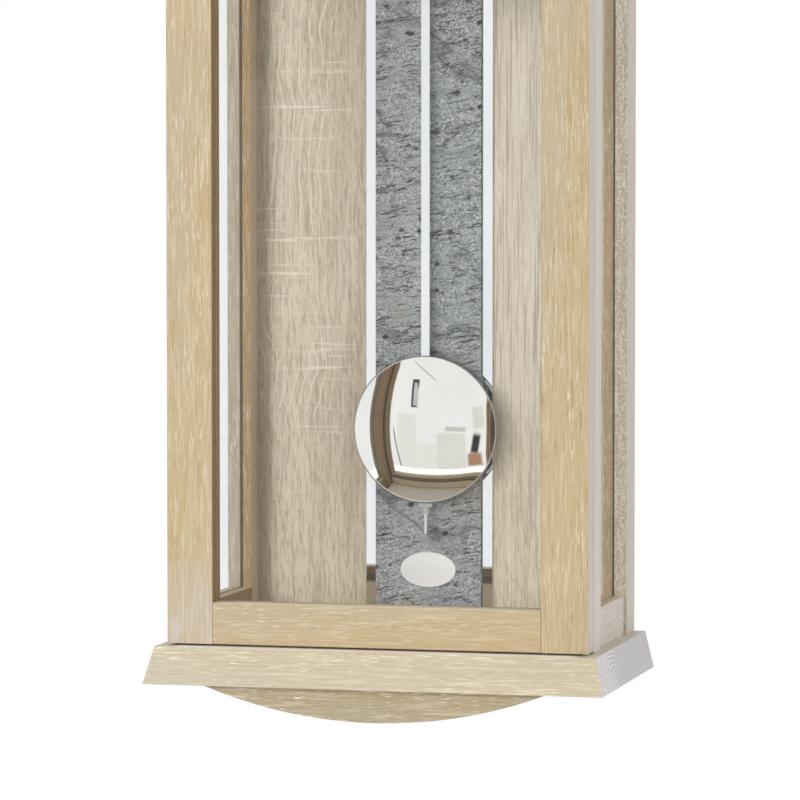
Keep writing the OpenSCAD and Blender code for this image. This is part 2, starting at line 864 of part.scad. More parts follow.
module bob_shell() {
    color(nickel) translate([0, 0, bob_z]) {
        intersection() {
            difference() {
                translate([0, dome_y, 0]) rotate([90, 0, 0]) sphere(r = dome_r, $fn = 180);
                translate([0, dome_y, 0]) rotate([90, 0, 0]) sphere(r = dome_r - sheet_t, $fn = 180);
            }
            rod_y([0, 0], rim_y - bob_rise - cut, rim_y, bob_r - rim_r);
        }
        translate([0, rim_y, 0]) rotate([90, 0, 0]) rotate_extrude()
            translate([bob_r - rim_r, 0]) circle(r = rim_r, $fn = 24);
    }
}

module rod_channel() {
    x = rod_w / 2 + bob_play;
    block([-x, pend_y - slot_d, -bob_r - cut], [x, pend_y + slot_d, bob_r + cut]);
}

module bob_weight() {
    color(dark_steel) translate([0, 0, bob_z]) difference() {
        intersection() {
            rod_y([0, 0], rim_y - bob_rise, cup_y, weight_r);
            translate([0, dome_y, 0]) rotate([90, 0, 0])
                sphere(r = dome_r - sheet_t - 0.2, $fn = 180);
        }
        rod_channel();
    }
}

module bob_back() {
    wall_front = rim_y + 0.6 * rim_r;
    color(nickel) translate([0, 0, bob_z]) difference() {
        rod_y([0, 0], wall_front, cup_y + sheet_t, bob_r - rim_r - sheet_t - 0.2);
        rod_y([0, 0], wall_front - cut, cup_y, weight_r + 0.1);
        rod_channel();
    }
}

module rating_nut() {
    top = -bob_r - 0.3;
    teeth = 30;
    color(brass) translate([0, pend_y, bob_z]) difference() {
        union() {
            translate([0, 0, top - nut_h]) linear_extrude(height = nut_h) polygon([
                for (i = [0 : teeth - 1], s = [0, 1]) let (a = (i + s / 2) * 360 / teeth)
                (nut_r - 0.3 * s) * [cos(a), sin(a)]]);
            translate([0, 0, top - nut_h - 5.4]) cylinder(h = 5.4 + 0.01, r = nut_r / 2 + 0.1);
        }
        translate([0, 0, top - nut_h - 5.4 - cut])
            cylinder(h = nut_h + 5.4 + 2 * cut, r = stud_r + pivot_play);
    }
}

// Barrel, spring, winding arbor and click
drum_rear = barrel_wheel_y - barrel_tooth_t;
drum_wall = 1.5;
drum_cap = 1.2;

module barrel() {
    color(brass) translate(at_dial) difference() {
        union() {
            plate_at(barrel_wheel_y, barrel_tooth_t) translate(barrel_at)
                wheel_outline(barrel_n, slow_m);
            rod_y(barrel_at, drum_rear - barrel_l, drum_rear + 0.01, barrel_r);
        }
        rod_y(barrel_at, drum_rear - barrel_l + drum_cap, drum_rear, barrel_r - drum_wall);
        rod_y(barrel_at, drum_rear - barrel_l - cut, barrel_wheel_y + cut, winding_r + pivot_play);
    }
}

coil_n = 9;
coil_t = 0.5;
coil_step = 24;        // degrees between the points of a coil

module mainspring() {
    r0 = barrel_r - drum_wall - 0.3;
    pitch = 1.6;
    steps = coil_n * 360 / coil_step;
    function edge(r) = [for (i = [0 : steps])
        let (a = i * coil_step, q = r - pitch * a / 360) q * [cos(a), sin(a)]];
    inner = edge(r0 - coil_t);
    color(dark_steel) translate(at_dial)
        plate_at(drum_rear - 0.4, barrel_l - drum_cap - 0.8) translate(barrel_at)
            polygon(concat(edge(r0), [for (i = [steps : -1 : 0]) inner[i]]));
}

ratchet_r = 11;
ratchet_n = 24;
ratchet_y = front_plate_y - 1;
ratchet_t = 2;
square = 4.2;

module winding_arbor() {
    color(steel) translate(at_dial) {
        rod_y(barrel_at, front_plate_y - 1 - ratchet_t, rear_plate_y + 0.5, winding_r);
        translate([-square / 2, dial_rear + 1, barrel_at[1] - square / 2])
            cube([square, front_plate_y - 1 - ratchet_t - dial_rear - 1 + 0.01, square]);
    }
}

module ratchet_wheel() {
    depth = 1.6;
    color(steel) translate(at_dial) difference() {
        plate_at(ratchet_y, ratchet_t) translate(barrel_at) polygon([
            for (i = [0 : ratchet_n - 1], s = [0, 1]) let (a = (i + 0.12 * s) * 360 / ratchet_n)
            (ratchet_r - depth * s) * [cos(a), sin(a)]]);
        rod_y(barrel_at, ratchet_y - ratchet_t - cut, ratchet_y + cut, winding_r + seat_play);
    }
}

// The click lies along a tangent of the ratchet wheel and rests above it by its own weight
module click() {
    click_gap = 0.3;
    click_w = 2.4;
    reach = norm(click_at - barrel_at);
    lean = asin((ratchet_r + click_gap + click_w / 2) / reach);
    l = reach * cos(lean);
    color(steel) translate(at_dial) difference() {
        translate([click_at[0], ratchet_y, click_at[1]]) rotate([90, 0, 0])
            rotate(bearing(click_at, barrel_at) + lean) linear_extrude(height = ratchet_t)
            polygon(concat([for (a = [60 : 20 : 300]) 3 * [cos(a), sin(a)]],
                click_w / 2 * [[2 * l / click_w - 2, -1], [2 * l / click_w + 0.8, -1],
                    [2 * l / click_w + 1, -0.2], [2 * l / click_w, 1]]));
        rod_y(click_at, ratchet_y - ratchet_t - cut, ratchet_y + cut, click_stud_r + pivot_play);
    }
}

// Going train
module second_wheel() {
    color(brass) translate(at_dial) {
        crossed_wheel(second_at, second_wheel_y, 2, second_n, second_m, 4, 4);
        pinion(second_at, barrel_wheel_y + 1, barrel_tooth_t + 2, slow_leaves, slow_m,
            second_leaf_turn);
        arbor(second_at, 1.5);
    }
}

module centre_wheel() {
    color(brass) translate(at_dial) difference() {
        crossed_wheel(centre_at, centre_wheel_y, wheel_t, centre_n, centre_m, 4, 5);
        rod_y(centre_at, centre_wheel_y - wheel_t - cut, centre_wheel_y + cut, centre_r + seat_play);
    }
}

cannon_y = front_plate_y - 1.5;
cannon_t = 3;
cannon_pipe_r = 2.4;
hour_pipe_r = 3.4;
hour_wheel_y = cannon_y - cannon_t - 2.4;
hour_hand_y = dial_front - 4;
minute_hand_y = hour_hand_y - hand_t - 1.6;
nut_front = minute_hand_y - hand_t - 2.4;

module centre_arbor() {
    color(steel) translate(at_dial) {
        rod_y(centre_at, nut_front + 0.6, rear_plate_y + 0.5, centre_r);
        difference() {
            pinion(centre_at, second_wheel_y + 1, 4, slow_leaves, second_m, centre_leaf_turn);
            rod_y(centre_at, rear_inner - 8, rear_inner, 1);
        }
    }
}

module cannon_pinion() {
    color(steel) translate(at_dial) difference() {
        union() {
            pinion(centre_at, cannon_y, cannon_t, cannon_n, cannon_m, 0);
            rod_y(centre_at, minute_hand_y - hand_t, cannon_y - cannon_t + 0.01, cannon_pipe_r);
        }
        rod_y(centre_at, minute_hand_y - hand_t - cut, cannon_y + cut, centre_r + seat_play);
    }
}

module minute_wheel() {
    y = cannon_y - 0.6;
    color(brass) translate(at_dial) difference() {
        union() {
            crossed_wheel(minute_at, y, 1.4, minute_n, cannon_m, 3.4, 4, minute_turn);
            pinion(minute_at, y - 1.39, 5, minute_leaves, hour_m, 0);
        }
        rod_y(minute_at, y - 8, y + cut, minute_stud_r + pivot_play);
    }
}

module hour_wheel() {
    color(brass) translate(at_dial) difference() {
        union() {
            crossed_wheel(centre_at, hour_wheel_y, 1.4, hour_n, hour_m, 4.6, 4, hour_turn);
            rod_y(centre_at, hour_hand_y - hand_t, hour_wheel_y, hour_pipe_r);
        }
        rod_y(centre_at, hour_hand_y - hand_t - cut, hour_wheel_y + cut,
            cannon_pipe_r + pivot_play);
    }
}

// A tapered baton hand with a round boss, pointing at the given clock angle
module hand(y, l, w, boss, bore, at) {
    difference() {
        translate([0, y, 0]) rotate([90, 0, 0]) rotate(-at) linear_extrude(height = hand_t)
            polygon(concat([for (a = [-230 : 20 : 50]) boss * [cos(a), sin(a)]],
                [[w / 2, l * 0.2], [w * 0.32, l - w], [0, l], [-w * 0.32, l - w],
                    [-w / 2, l * 0.2]]));
        rod_y([0, 0], y - hand_t - cut, y + cut, bore + seat_play);
    }
}

module hour_hand() {
    color(dark_steel) translate(at_dial) hand(hour_hand_y, hour_l, 6, 6.5, hour_pipe_r, -55);
}

module minute_hand() {
    color(dark_steel) translate(at_dial) hand(minute_hand_y, minute_l, 4.6, 5, cannon_pipe_r, 60);
}

module hand_nut() {
    color(brass) translate(at_dial) difference() {
        rod_y([0, 0], nut_front, minute_hand_y - hand_t, 3.4);
        rod_y([0, 0], nut_front + 0.6, minute_hand_y, centre_r + thread_play);
    }
}

module third_wheel() {
    color(brass) translate(at_dial) {
        crossed_wheel(third_at, third_wheel_y, wheel_t, third_n, third_m, 3, 5);
        pinion(third_at, centre_wheel_y + 1, wheel_t + 2, fast_leaves, centre_m, third_leaf_turn);
        arbor(third_at, 1.1);
    }
}

module escape_wheel() {
    depth = 2.4;
    lean = 3;
    rim = escape_r - depth;
    color(brass) translate(at_dial) {
        translate([escape_at[0], escape_wheel_y, escape_at[1]]) rotate([90, 0, 0]) {
            difference() {
                linear_extrude(height = wheel_t) polygon([for (i = [0 : escape_n - 1],
                        p = [[rim, -3], [escape_r, lean], [escape_r, lean + 0.8], [rim, 2]])
                    let (a = i * 360 / escape_n + p[1]) p[0] * [cos(a), sin(a)]]);
                translate([0, 0, -cut]) cylinder(h = wheel_t + 2 * cut, r = rim - 1.6);
            }
            cylinder(h = wheel_t, r = 2.4);
            for (i = [0 : 3]) rotate(i * 90) translate([0, -0.6, 0]) cube([rim - 1.2, 1.2, wheel_t]);
        }
        pinion(escape_at, third_wheel_y + 1, wheel_t + 2, fast_leaves, third_m, escape_leaf_turn);
        arbor(escape_at, 0.95);
    }
}

// Anchor: two pallets over seven and a half teeth, on the arbor that also carries the crutch
module anchor() {
    t = 3;
    y = escape_wheel_y + 0.7;
    spread = 45;
    pallet_l = 5;
    pallet_w = 2;
    arm_w = 3;
    tip = escape_at + (escape_r + pallet_gap + pallet_l) * [sin(spread), cos(spread)];
    color(steel) translate(at_dial) {
        translate([0, y, 0]) rotate([90, 0, 0]) linear_extrude(height = t) {
            for (side = [0, 1]) mirror([side, 0]) {
                translate(escape_at) rotate(-spread)
                    translate([-pallet_w / 2, escape_r + pallet_gap]) square([pallet_w, pallet_l]);
                translate(anchor_at) rotate(bearing(anchor_at, tip))
                    translate([0, -arm_w / 2]) square([norm(tip - anchor_at) + pallet_w / 2, arm_w]);
            }
            translate(anchor_at) circle(r = 3.4);
        }
        rod_y(anchor_at, front_inner + 0.4, rear_inner - 0.4, 1.2);
        rod_y(anchor_at, front_plate_y - 0.5, rear_plate_y + 4, train_pivot_r);
    }
}

module crutch() {
    y = rear_plate_y + 1;
    color(steel) translate(at_dial) {
        difference() {
            union() {
                rod_y(anchor_at, y, y + 2.6, 2.6);
                block([-1.4, y, anchor_at[1] + fork_at - 2], [1.4, y + 1.2, anchor_at[1]]);
            }
            rod_y(anchor_at, y - cut, y + 2.6 + cut, train_pivot_r + seat_play);
        }
        rod_y([0, anchor_at[1] + fork_at], y, leader_front + leader_t + 1, crutch_pin_r);
    }
}

// Dial
key_hole_r = 5;
dial_foot_r = 1.6;
bezel_play = 0.1;
dial_foot_at = [[-33, 34], [33, 34], [-33, -64], [33, -64]];

module dial_plate() {
    color("#e9ebea") translate(at_dial) {
        difference() {
            rod_y([0, 0], dial_front, dial_rear, dial_r, $fn = 180);
            rod_y([0, 0], dial_front - cut, dial_rear + cut, hour_pipe_r + 1);
            rod_y(barrel_at, dial_front - cut, dial_rear + cut, key_hole_r);
        }
        for (p = dial_foot_at) rod_y(p, dial_rear - 0.01, front_plate_y, dial_foot_r);
    }
}

module dial_bezel() {
    lip = 2;
    seat_r = dial_r + bezel_play;
    color(nickel) translate([0, dial_rear, dial_z]) rotate([90, 0, 0]) rotate_extrude($fn = 180)
        polygon([[seat_r, 0], [dial_r + bezel_w, 0], [dial_r + bezel_w, dial_t + 0.4 * bezel_h],
            [dial_r + 0.5 * bezel_w, dial_t + bezel_h], [dial_r - lip + 0.8, dial_t + bezel_h],
            [dial_r - lip, dial_t], [seat_r, dial_t]]);
}

module hour_marks() {
    color("#2d2f31") translate(at_dial) for (i = [0 : 11]) {
        w = i == 0 ? 2 * mark_w : i % 3 == 0 ? 1.4 * mark_w : mark_w;
        rotate([0, 30 * i, 0]) block([-w / 2, dial_front - mark_t, dial_r - 6 - mark_l],
            [w / 2, dial_front, dial_r - 6]);
    }
}

plinth();
apron();
cornice();
left_front_post();
right_front_post();
side_rails();
side_glass();
left_back_stile();
right_back_stile();
back_top_rail();
back_bottom_rail();
back_panel();
mirror_strip();
slate_strip();
oval_plate();
hanger_plate();
case_screws();
panel_screws();
pivot_pins();
catch_magnet();
door_left_stile();
door_right_stile();
door_top_rail();
door_bottom_rail();
door_glass();
glazing_beads();
strike_disc();
front_plate();
rear_plate();
plate_pillars();
plate_screws();
movement_posts();
suspension_cock();
dial_plate();
dial_bezel();
hour_marks();
barrel();
mainspring();
winding_arbor();
ratchet_wheel();
click();
second_wheel();
centre_wheel();
centre_arbor();
cannon_pinion();
minute_wheel();
hour_wheel();
hour_hand();
minute_hand();
hand_nut();
third_wheel();
escape_wheel();
anchor();
crutch();
suspension_spring();
pendulum_rod();
bob_shell();
bob_weight();
bob_back();
rating_nut();
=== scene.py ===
import json
import math
import bmesh
import bpy
from mathutils import Matrix, Vector

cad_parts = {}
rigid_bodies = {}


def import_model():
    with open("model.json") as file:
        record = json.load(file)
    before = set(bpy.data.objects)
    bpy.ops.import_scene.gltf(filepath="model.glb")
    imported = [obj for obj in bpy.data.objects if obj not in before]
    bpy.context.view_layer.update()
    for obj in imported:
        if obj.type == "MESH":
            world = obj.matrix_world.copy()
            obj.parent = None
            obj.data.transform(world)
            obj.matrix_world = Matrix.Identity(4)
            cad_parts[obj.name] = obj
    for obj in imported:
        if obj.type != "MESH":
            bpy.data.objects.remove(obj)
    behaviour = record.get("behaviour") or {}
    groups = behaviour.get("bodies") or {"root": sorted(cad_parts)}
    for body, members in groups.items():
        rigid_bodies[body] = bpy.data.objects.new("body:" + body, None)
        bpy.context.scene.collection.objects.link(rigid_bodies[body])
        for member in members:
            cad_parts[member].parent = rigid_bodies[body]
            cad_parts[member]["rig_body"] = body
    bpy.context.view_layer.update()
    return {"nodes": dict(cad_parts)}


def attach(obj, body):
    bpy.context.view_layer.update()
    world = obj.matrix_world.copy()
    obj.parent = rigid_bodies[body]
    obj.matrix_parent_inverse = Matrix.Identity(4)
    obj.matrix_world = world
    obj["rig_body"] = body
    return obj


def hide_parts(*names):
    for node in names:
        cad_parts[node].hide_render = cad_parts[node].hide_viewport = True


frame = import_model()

nodes = frame["nodes"]
print("stage: frame loaded,", len(nodes), "nodes")


def linear(tone):
    # screen colour 0..255 to linear light, by the sRGB curve
    return tuple(((c / 255 + 0.055) / 1.055) ** 2.4 if c > 10 else c / 255 / 12.92 for c in tone) + (1,)


def scaled(tone, factor):
    return [factor * c for c in tone]


def reach(name, axis, pick=max):
    # how far a CAD piece goes along an axis
    return pick(v.co["XYZ".index(axis)] for v in nodes[name].data.vertices)


class NodeTree:
    # A short way to build any node tree

    def __init__(self, tree):
        self.tree = tree
        self.tree.nodes.clear()

    def add(self, kind, **settings):
        n = self.tree.nodes.new(kind)
        for key, value in settings.items():
            setattr(n, key, value)
        return n

    def put(self, socket, value):
        if isinstance(value, bpy.types.NodeSocket):
            self.tree.links.new(value, socket)
        else:
            socket.default_value = value

    def maths(self, operation, a, b=0.0):
        n = self.add("ShaderNodeMath", operation=operation)
        self.put(n.inputs[0], a)
        self.put(n.inputs[1], b)
        return n.outputs[0]

    def times(self, *values):
        out = values[0]
        for v in values[1:]:
            out = self.maths("MULTIPLY", out, v)
        return out

    def most(self, *values):
        out = values[0]
        for v in values[1:]:
            out = self.maths("MAXIMUM", out, v)
        return out

    def unsigned(self, value):
        return self.maths("ABSOLUTE", value)

    def rays(self):
        return self.add("ShaderNodeLightPath").outputs

    def mirrored(self):
        # 1 for rays that metal or glass has already mirrored
        return self.maths("GREATER_THAN", self.rays()["Glossy Depth"], 0.5)

    def either(self, amount, first, second):
        # the first shader where the amount is 0, the second where it is 1
        n = self.add("ShaderNodeMixShader")
        self.put(n.inputs[0], amount)
        self.put(n.inputs[1], first)
        self.put(n.inputs[2], second)
        return n.outputs[0]


class Shade(NodeTree):
    # One material, laid out on the object's own coordinates

    def __init__(self, name):
        self.mat = bpy.data.materials.new(name)
        self.mat.use_nodes = True
        super().__init__(self.mat.node_tree)
        place = self.add("ShaderNodeTexCoord")
        self.coord = place.outputs["Object"]
        self.normal = place.outputs["Normal"]

    def split(self, vector):
        n = self.add("ShaderNodeSeparateXYZ")
        self.put(n.inputs[0], vector)
        return n.outputs

    def mapped(self, scale, move=(0, 0, 0), source=None):
        n = self.add("ShaderNodeMapping")
        self.put(n.inputs["Vector"], source or self.coord)
        n.inputs["Scale"].default_value = scale
        n.inputs["Location"].default_value = move
        return n.outputs["Vector"]

    def turned(self, degrees):
        # coordinates turned about the line from front to back
        n = self.add("ShaderNodeMapping")
        self.put(n.inputs["Vector"], self.coord)
        n.inputs["Rotation"].default_value = (0, math.radians(degrees), 0)
        return n.outputs["Vector"]

    def noise(self, vector, detail=2.0, rough=0.5, warp=0.0):
        n = self.add("ShaderNodeTexNoise")
        self.put(n.inputs["Vector"], vector)
        n.inputs["Scale"].default_value = 1.0
        n.inputs["Detail"].default_value = detail
        n.inputs["Roughness"].default_value = rough
        n.inputs["Distortion"].default_value = warp
        return n.outputs["Fac"]

    def cells(self, vector):
        n = self.add("ShaderNodeTexVoronoi")
        self.put(n.inputs["Vector"], vector)
        n.inputs["Scale"].default_value = 1.0
        return n.outputs["Distance"]

    def rings(self, vector, scale, warp, detail, detailScale):
        n = self.add("ShaderNodeTexWave", wave_type="RINGS", rings_direction="X")
        self.put(n.inputs["Vector"], vector)
        n.inputs["Scale"].default_value = scale
        n.inputs["Distortion"].default_value = warp
        n.inputs["Detail"].default_value = detail
        n.inputs["Detail Scale"].default_value = detailScale
        return n.outputs["Fac"]

    def between(self, value, low, high, outLow=0.0, outHigh=1.0):
        # a smooth step from one output to the other while the value goes from low to high
        n = self.add("ShaderNodeMapRange", interpolation_type="SMOOTHSTEP")
        self.put(n.inputs["Value"], value)
        n.inputs["From Min"].default_value = low
        n.inputs["From Max"].default_value = high
        n.inputs["To Min"].default_value = outLow
        n.inputs["To Max"].default_value = outHigh
        return n.outputs["Result"]

    def within(self, value, low, high):
        # 1 where the value lies near zero, falling to 0 between the given distances from it
        return self.between(self.unsigned(value), low, high, 1.0, 0.0)

    def ridge(self, value, width):
        # 1 where the value crosses a half, falling to 0 at the given distance
        return self.within(self.maths("SUBTRACT", value, 0.5), 0.0, width)

    def mix(self, amount, a, b):
        n = self.add("ShaderNodeMix", data_type="RGBA")
        self.put(n.inputs["Factor"], amount)
        self.put(n.inputs["A"], a)
        self.put(n.inputs["B"], b)
        return n.outputs["Result"]

    def tones(self, value, low, high, first, second):
        # one screen colour where the value is low, another where it is high
        return self.mix(self.between(value, low, high), linear(first), linear(second))

    def laid(self, color, tone, amount):
        # a screen colour laid over what is there
        return self.mix(amount, color, linear(tone))

    def bump(self, height, strength, distance):
        n = self.add("ShaderNodeBump")
        self.put(n.inputs["Height"], height)
        n.inputs["Strength"].default_value = strength
        n.inputs["Distance"].default_value = distance
        return n.outputs["Normal"]

    def clear(self):
        return self.add("ShaderNodeBsdfTransparent")

    def surface(self, color, rough, metal=0.0, normal=None, specular=0.5, coat=0.0):
        n = self.add("ShaderNodeBsdfPrincipled")
        self.put(n.inputs["Base Color"], color)
        self.put(n.inputs["Roughness"], rough)
        n.inputs["Metallic"].default_value = metal
        n.inputs["Specular IOR Level"].default_value = specular
        n.inputs["Coat Weight"].default_value = coat
        if normal is not None:
            self.put(n.inputs["Normal"], normal)
        return n.outputs[0]

    def finish(self, shader):
        out = self.add("ShaderNodeOutputMaterial")
        self.tree.links.new(shader, out.inputs["Surface"])
        return self.mat


def grained(axis, across, along):
    # noise scales, per metre, across the grain and along it
    return {"X": (along, across, across), "Y": (across, along, across), "Z": (across, across, along)}[axis]


oakLook = {
    "warm": (197, 177, 142),        # straw coloured wood between the pores
    "cool": (193, 178, 150),        # paler stretches, where more wax stayed
    "line": (172, 145, 100),        # darker growth lines
    "fine": (186, 164, 124),        # fine streaks between them
    "lime": (230, 219, 194),        # a veil of white wax
    "fleck": (240, 231, 210),       # wax left in the pores
    "outer": (206, 199, 195),       # the case's outer sides, cooler and paler: painted light, as the light falls on them
    "inner": (140, 112, 76),        # painted shade on faces towards the inside, darker and browner
    "rear": (104, 88, 72),          # faces towards the wall
    "end": (192, 189, 188),         # end grain
    "ring": (234, 233, 233),        # and the pale rings in it
    "floor": (255, 252, 246),       # painted light: the floor inside the case, paler where light falls on it
    "gold": (180, 154, 112),        # front of the back frame, inside the glass
    "goldDark": (164, 142, 106),
    "orange": (200, 152, 108),
    "cheek": (190, 172, 148),       # inner sides of the back frame's stiles
    "spotLight": (232, 226, 217),   # small spots of wax on rough faces
    "spotDark": (166, 153, 135),
    "lip": (234, 225, 203),         # painted highlight on the top edge of the door's bottom rail
    "band": (224, 211, 186),        # painted light on the low part of that rail's inner face
    "outerShare": 0.8,              # how far the outer sides take their own tone
    "outerStreak": 13,              # how much darker the streaks on them are, of 255
    "rearStreak": 0.82,             # and those on the rear faces, as a share of the tone
    # places, in metres
    "ringY": -0.135,                # middle of the rings in the plinth's end grain
    "ringDrop": 0.062,              # and how far it lies below the plinth's top
    "ringFade": (-0.160, -0.105),   # the rings fade towards the wall
    "lowHalf": (-0.5, -0.4),        # tells the plinth from the cornice
    "floorHalf": (0.140, 0.144),    # half width of the floor inside the case
    "paneEdge": 0.0004,             # softness of the line where the side glass stands
    "wornHeight": (0.0715, 0.0215), # above the door's foot, where its wear begins and is full
    "bandHeight": (0.016, 0.019),   # top of the band of painted light, above the door's foot
}
plinthTop = reach("plinth", "Z")
doorFoot = reach("door_left_stile", "Z", min)


def oakGrain(s, axis, seed):
    # patterns and places that all oak finishes share, moved by the seed so that they differ
    move = (seed * 1.37, seed * 0.71, seed * 2.13)
    side, place = s.split(s.normal), s.split(s.coord)
    return {
        "move": move,
        "cloud": s.noise(s.mapped(grained(axis, 22, 3), move), 2.0),
        "figure": s.noise(s.mapped(grained(axis, 170, 6), move), 3.0, 0.6, 0.25),
        "fine": s.noise(s.mapped(grained(axis, 1000, 18), move), 3.0, 0.62),
        "flecks": s.noise(s.mapped(grained(axis, 1700, 95), move), 1.0, 0.45),
        "veil": s.noise(s.mapped(grained(axis, 520, 30), move), 2.0, 0.55),
        "patch": s.noise(s.mapped(grained(axis, 55, 11), move), 2.0),
        "side": side,
        "place": place,
        "outward": s.times(side["X"], s.maths("SIGN", place["X"])),    # below 0 on faces that look inwards
        "ahead": s.between(side["Y"], -0.9, -0.5, 1.0, 0.0),
    }


def oakFace(s, grain, look, lime, lines):
    # straw coloured wood with darker growth lines, under a veil and flecks of white wax
    color = s.tones(grain["cloud"], 0.36, 0.64, look["warm"], look["cool"])
    color = s.laid(color, look["fine"], s.between(grain["fine"], 0.40, 0.78, 0.0, 0.55))
    color = s.laid(color, look["line"], s.times(s.ridge(grain["figure"], 0.013), 0.6 * lines))
    color = s.laid(color, look["lime"], s.between(grain["veil"], 0.48, 0.72, 0.0, 0.40 * lime))
    someFlecks = s.between(grain["patch"], 0.40, 0.60, 0.30, 1.0)
    flecked = s.times(s.between(grain["flecks"], 0.60, 0.69), someFlecks, 0.72 * lime)
    return s.laid(color, look["fleck"], flecked), flecked


def oakSideLightAndShade(s, color, grain, look, inner):
    # painted light and shade: the case's outer sides cooler and paler as lit, its inner sides darker and
    # browner as shaded
    streak = [c - look["outerStreak"] for c in look["outer"]]
    outerTone = s.tones(grain["fine"], 0.35, 0.7, look["outer"], streak)
    color = s.mix(s.between(grain["outward"], 0.7, 0.95, 0.0, look["outerShare"]), color, outerTone)
    return s.laid(color, look["inner"], s.between(grain["outward"], -0.7, -0.95, 0.0, inner))


def oakEnds(s, color, grain, look):
    # end grain on the sides of the plinth and the cornice, a greyer tone on top, and painted light on the
    # floor inside
    place, facingUp = grain["place"], grain["side"]["Z"]
    ringCentre = (0, -look["ringY"], look["ringDrop"] - plinthTop)
    ring = s.rings(s.mapped((1, 1, 1), ringCentre), 105, 7.0, 3.0, 0.7)
    fade = s.between(place["Y"], *look["ringFade"], 1.0, 0.12)
    endTone = s.mix(s.times(s.between(ring, 0.35, 0.85), fade), linear(look["end"]), linear(look["ring"]))
    color = s.mix(s.between(grain["outward"], 0.7, 0.9), color, endTone)
    # top faces take a greyer tone, patchy along the grain
    greyTop = s.times(s.between(facingUp, 0.6, 0.9), s.between(grain["fine"], 0.3, 0.7, 0.35, 0.75))
    color = s.laid(color, look["outer"], greyTop)
    # painted light: the floor inside the case is made paler, as if lit, where the mirror shows it
    floor = s.times(s.within(place["X"], *look["floorHalf"]),
                    s.between(place["Z"], *look["lowHalf"], 1.0, 0.0),
                    s.between(facingUp, 0.6, 0.9))
    return s.laid(color, look["floor"], s.times(floor, 0.85))


def backFrameFace(s, color, grain, look, inside, gold):
    # the front is golden inside the side glass, and the sides that look inwards are paler
    golden = s.tones(grain["veil"], 0.35, 0.65, scaled(look["gold"], gold), scaled(look["goldDark"], gold))
    orange = s.between(s.noise(s.mapped((140, 140, 9), (2, 0, 5)), 2.0), 0.50, 0.66, 0.0, 0.6)
    golden = s.laid(golden, scaled(look["orange"], gold), orange)
    golden = s.laid(golden, look["lime"], s.times(s.between(grain["flecks"], 0.60, 0.70), 0.6))
    color = s.mix(s.times(inside, grain["ahead"]), color, golden)
    return s.laid(color, look["cheek"], s.between(grain["outward"], -0.7, -0.9))


def oakSpots(s, color, grain, look, amount):
    # small pale and dark spots of wax
    spot = s.noise(s.mapped((900, 900, 520), grain["move"]), 2.0, 0.7)
    color = s.laid(color, look["spotLight"], s.times(s.between(spot, 0.53, 0.64), amount))
    return s.laid(color, look["spotDark"], s.times(s.between(spot, 0.46, 0.37), amount, 0.7))


def oakDoorFoot(s, color, grain, look):
    # painted light: a highlight on the bottom rail's top edge, and a pale band low on its inner face
    side, place = grain["side"], grain["place"]
    # painted highlight along the top edge
    color = s.laid(color, look["lip"], s.between(side["Z"], 0.5, 0.9, 0.0, 0.85))
    # painted light, a pale band low on the inner face
    low, high = (doorFoot + h for h in look["bandHeight"])
    band = s.times(s.between(place["Z"], low, high, 1.0, 0.0), s.between(side["Y"], 0.5, 0.9))
    return s.laid(color, look["band"], band)


def oakWear(s, color, grain, look, worn):
    # the door's left stile is greyer towards its foot
    begins, full = (doorFoot + h for h in look["wornHeight"])
    low = s.times(s.between(grain["place"]["Z"], begins, full, 0.0, worn),
                  s.between(grain["veil"], 0.35, 0.6, 0.4, 1.0))
    return s.laid(color, look["outer"], s.times(low, grain["ahead"]))


def makeOak(name, axis, seed, lime=1.0, lines=1.0, inner=0.35, rear=0.0, stipple=0.0,
            ends=False, foot=False, worn=0.0, tones=None, within=None, gold=1.0):
    look = dict(oakLook, **(tones or {}))
    s = Shade(name)
    grain = oakGrain(s, axis, seed)
    color, flecked = oakFace(s, grain, look, lime, lines)
    color = oakSideLightAndShade(s, color, grain, look, inner)
    if ends:
        color = oakEnds(s, color, grain, look)
    if within:
        soft = look["paneEdge"]
        inside = s.within(grain["place"]["X"], within - soft, within + soft)
        color = backFrameFace(s, color, grain, look, inside, gold)
        if stipple:
            beyond = s.times(grain["ahead"], s.maths("SUBTRACT", 1.0, inside), stipple)
            color = oakSpots(s, color, grain, look, beyond)
    elif stipple:
        color = oakSpots(s, color, grain, look, s.between(grain["outward"], 0.7, 0.95, 0.0, stipple))
    if rear:
        rearTone = s.tones(grain["fine"], 0.35, 0.7, look["rear"], scaled(look["rear"], look["rearStreak"]))
        color = s.mix(s.between(grain["side"]["Y"], 0.5, 0.9, 0.0, rear), color, rearTone)
    if worn:
        color = oakWear(s, color, grain, look, worn)
    if foot:
        color = oakDoorFoot(s, color, grain, look)
    height = s.maths("ADD", s.times(grain["fine"], 0.9), s.times(flecked, 0.3))
    polish = s.between(grain["fine"], 0.3, 0.7, 0.52, 0.66)
    return s.finish(s.surface(color, polish, normal=s.bump(height, 0.5, 0.00012), specular=0.35))


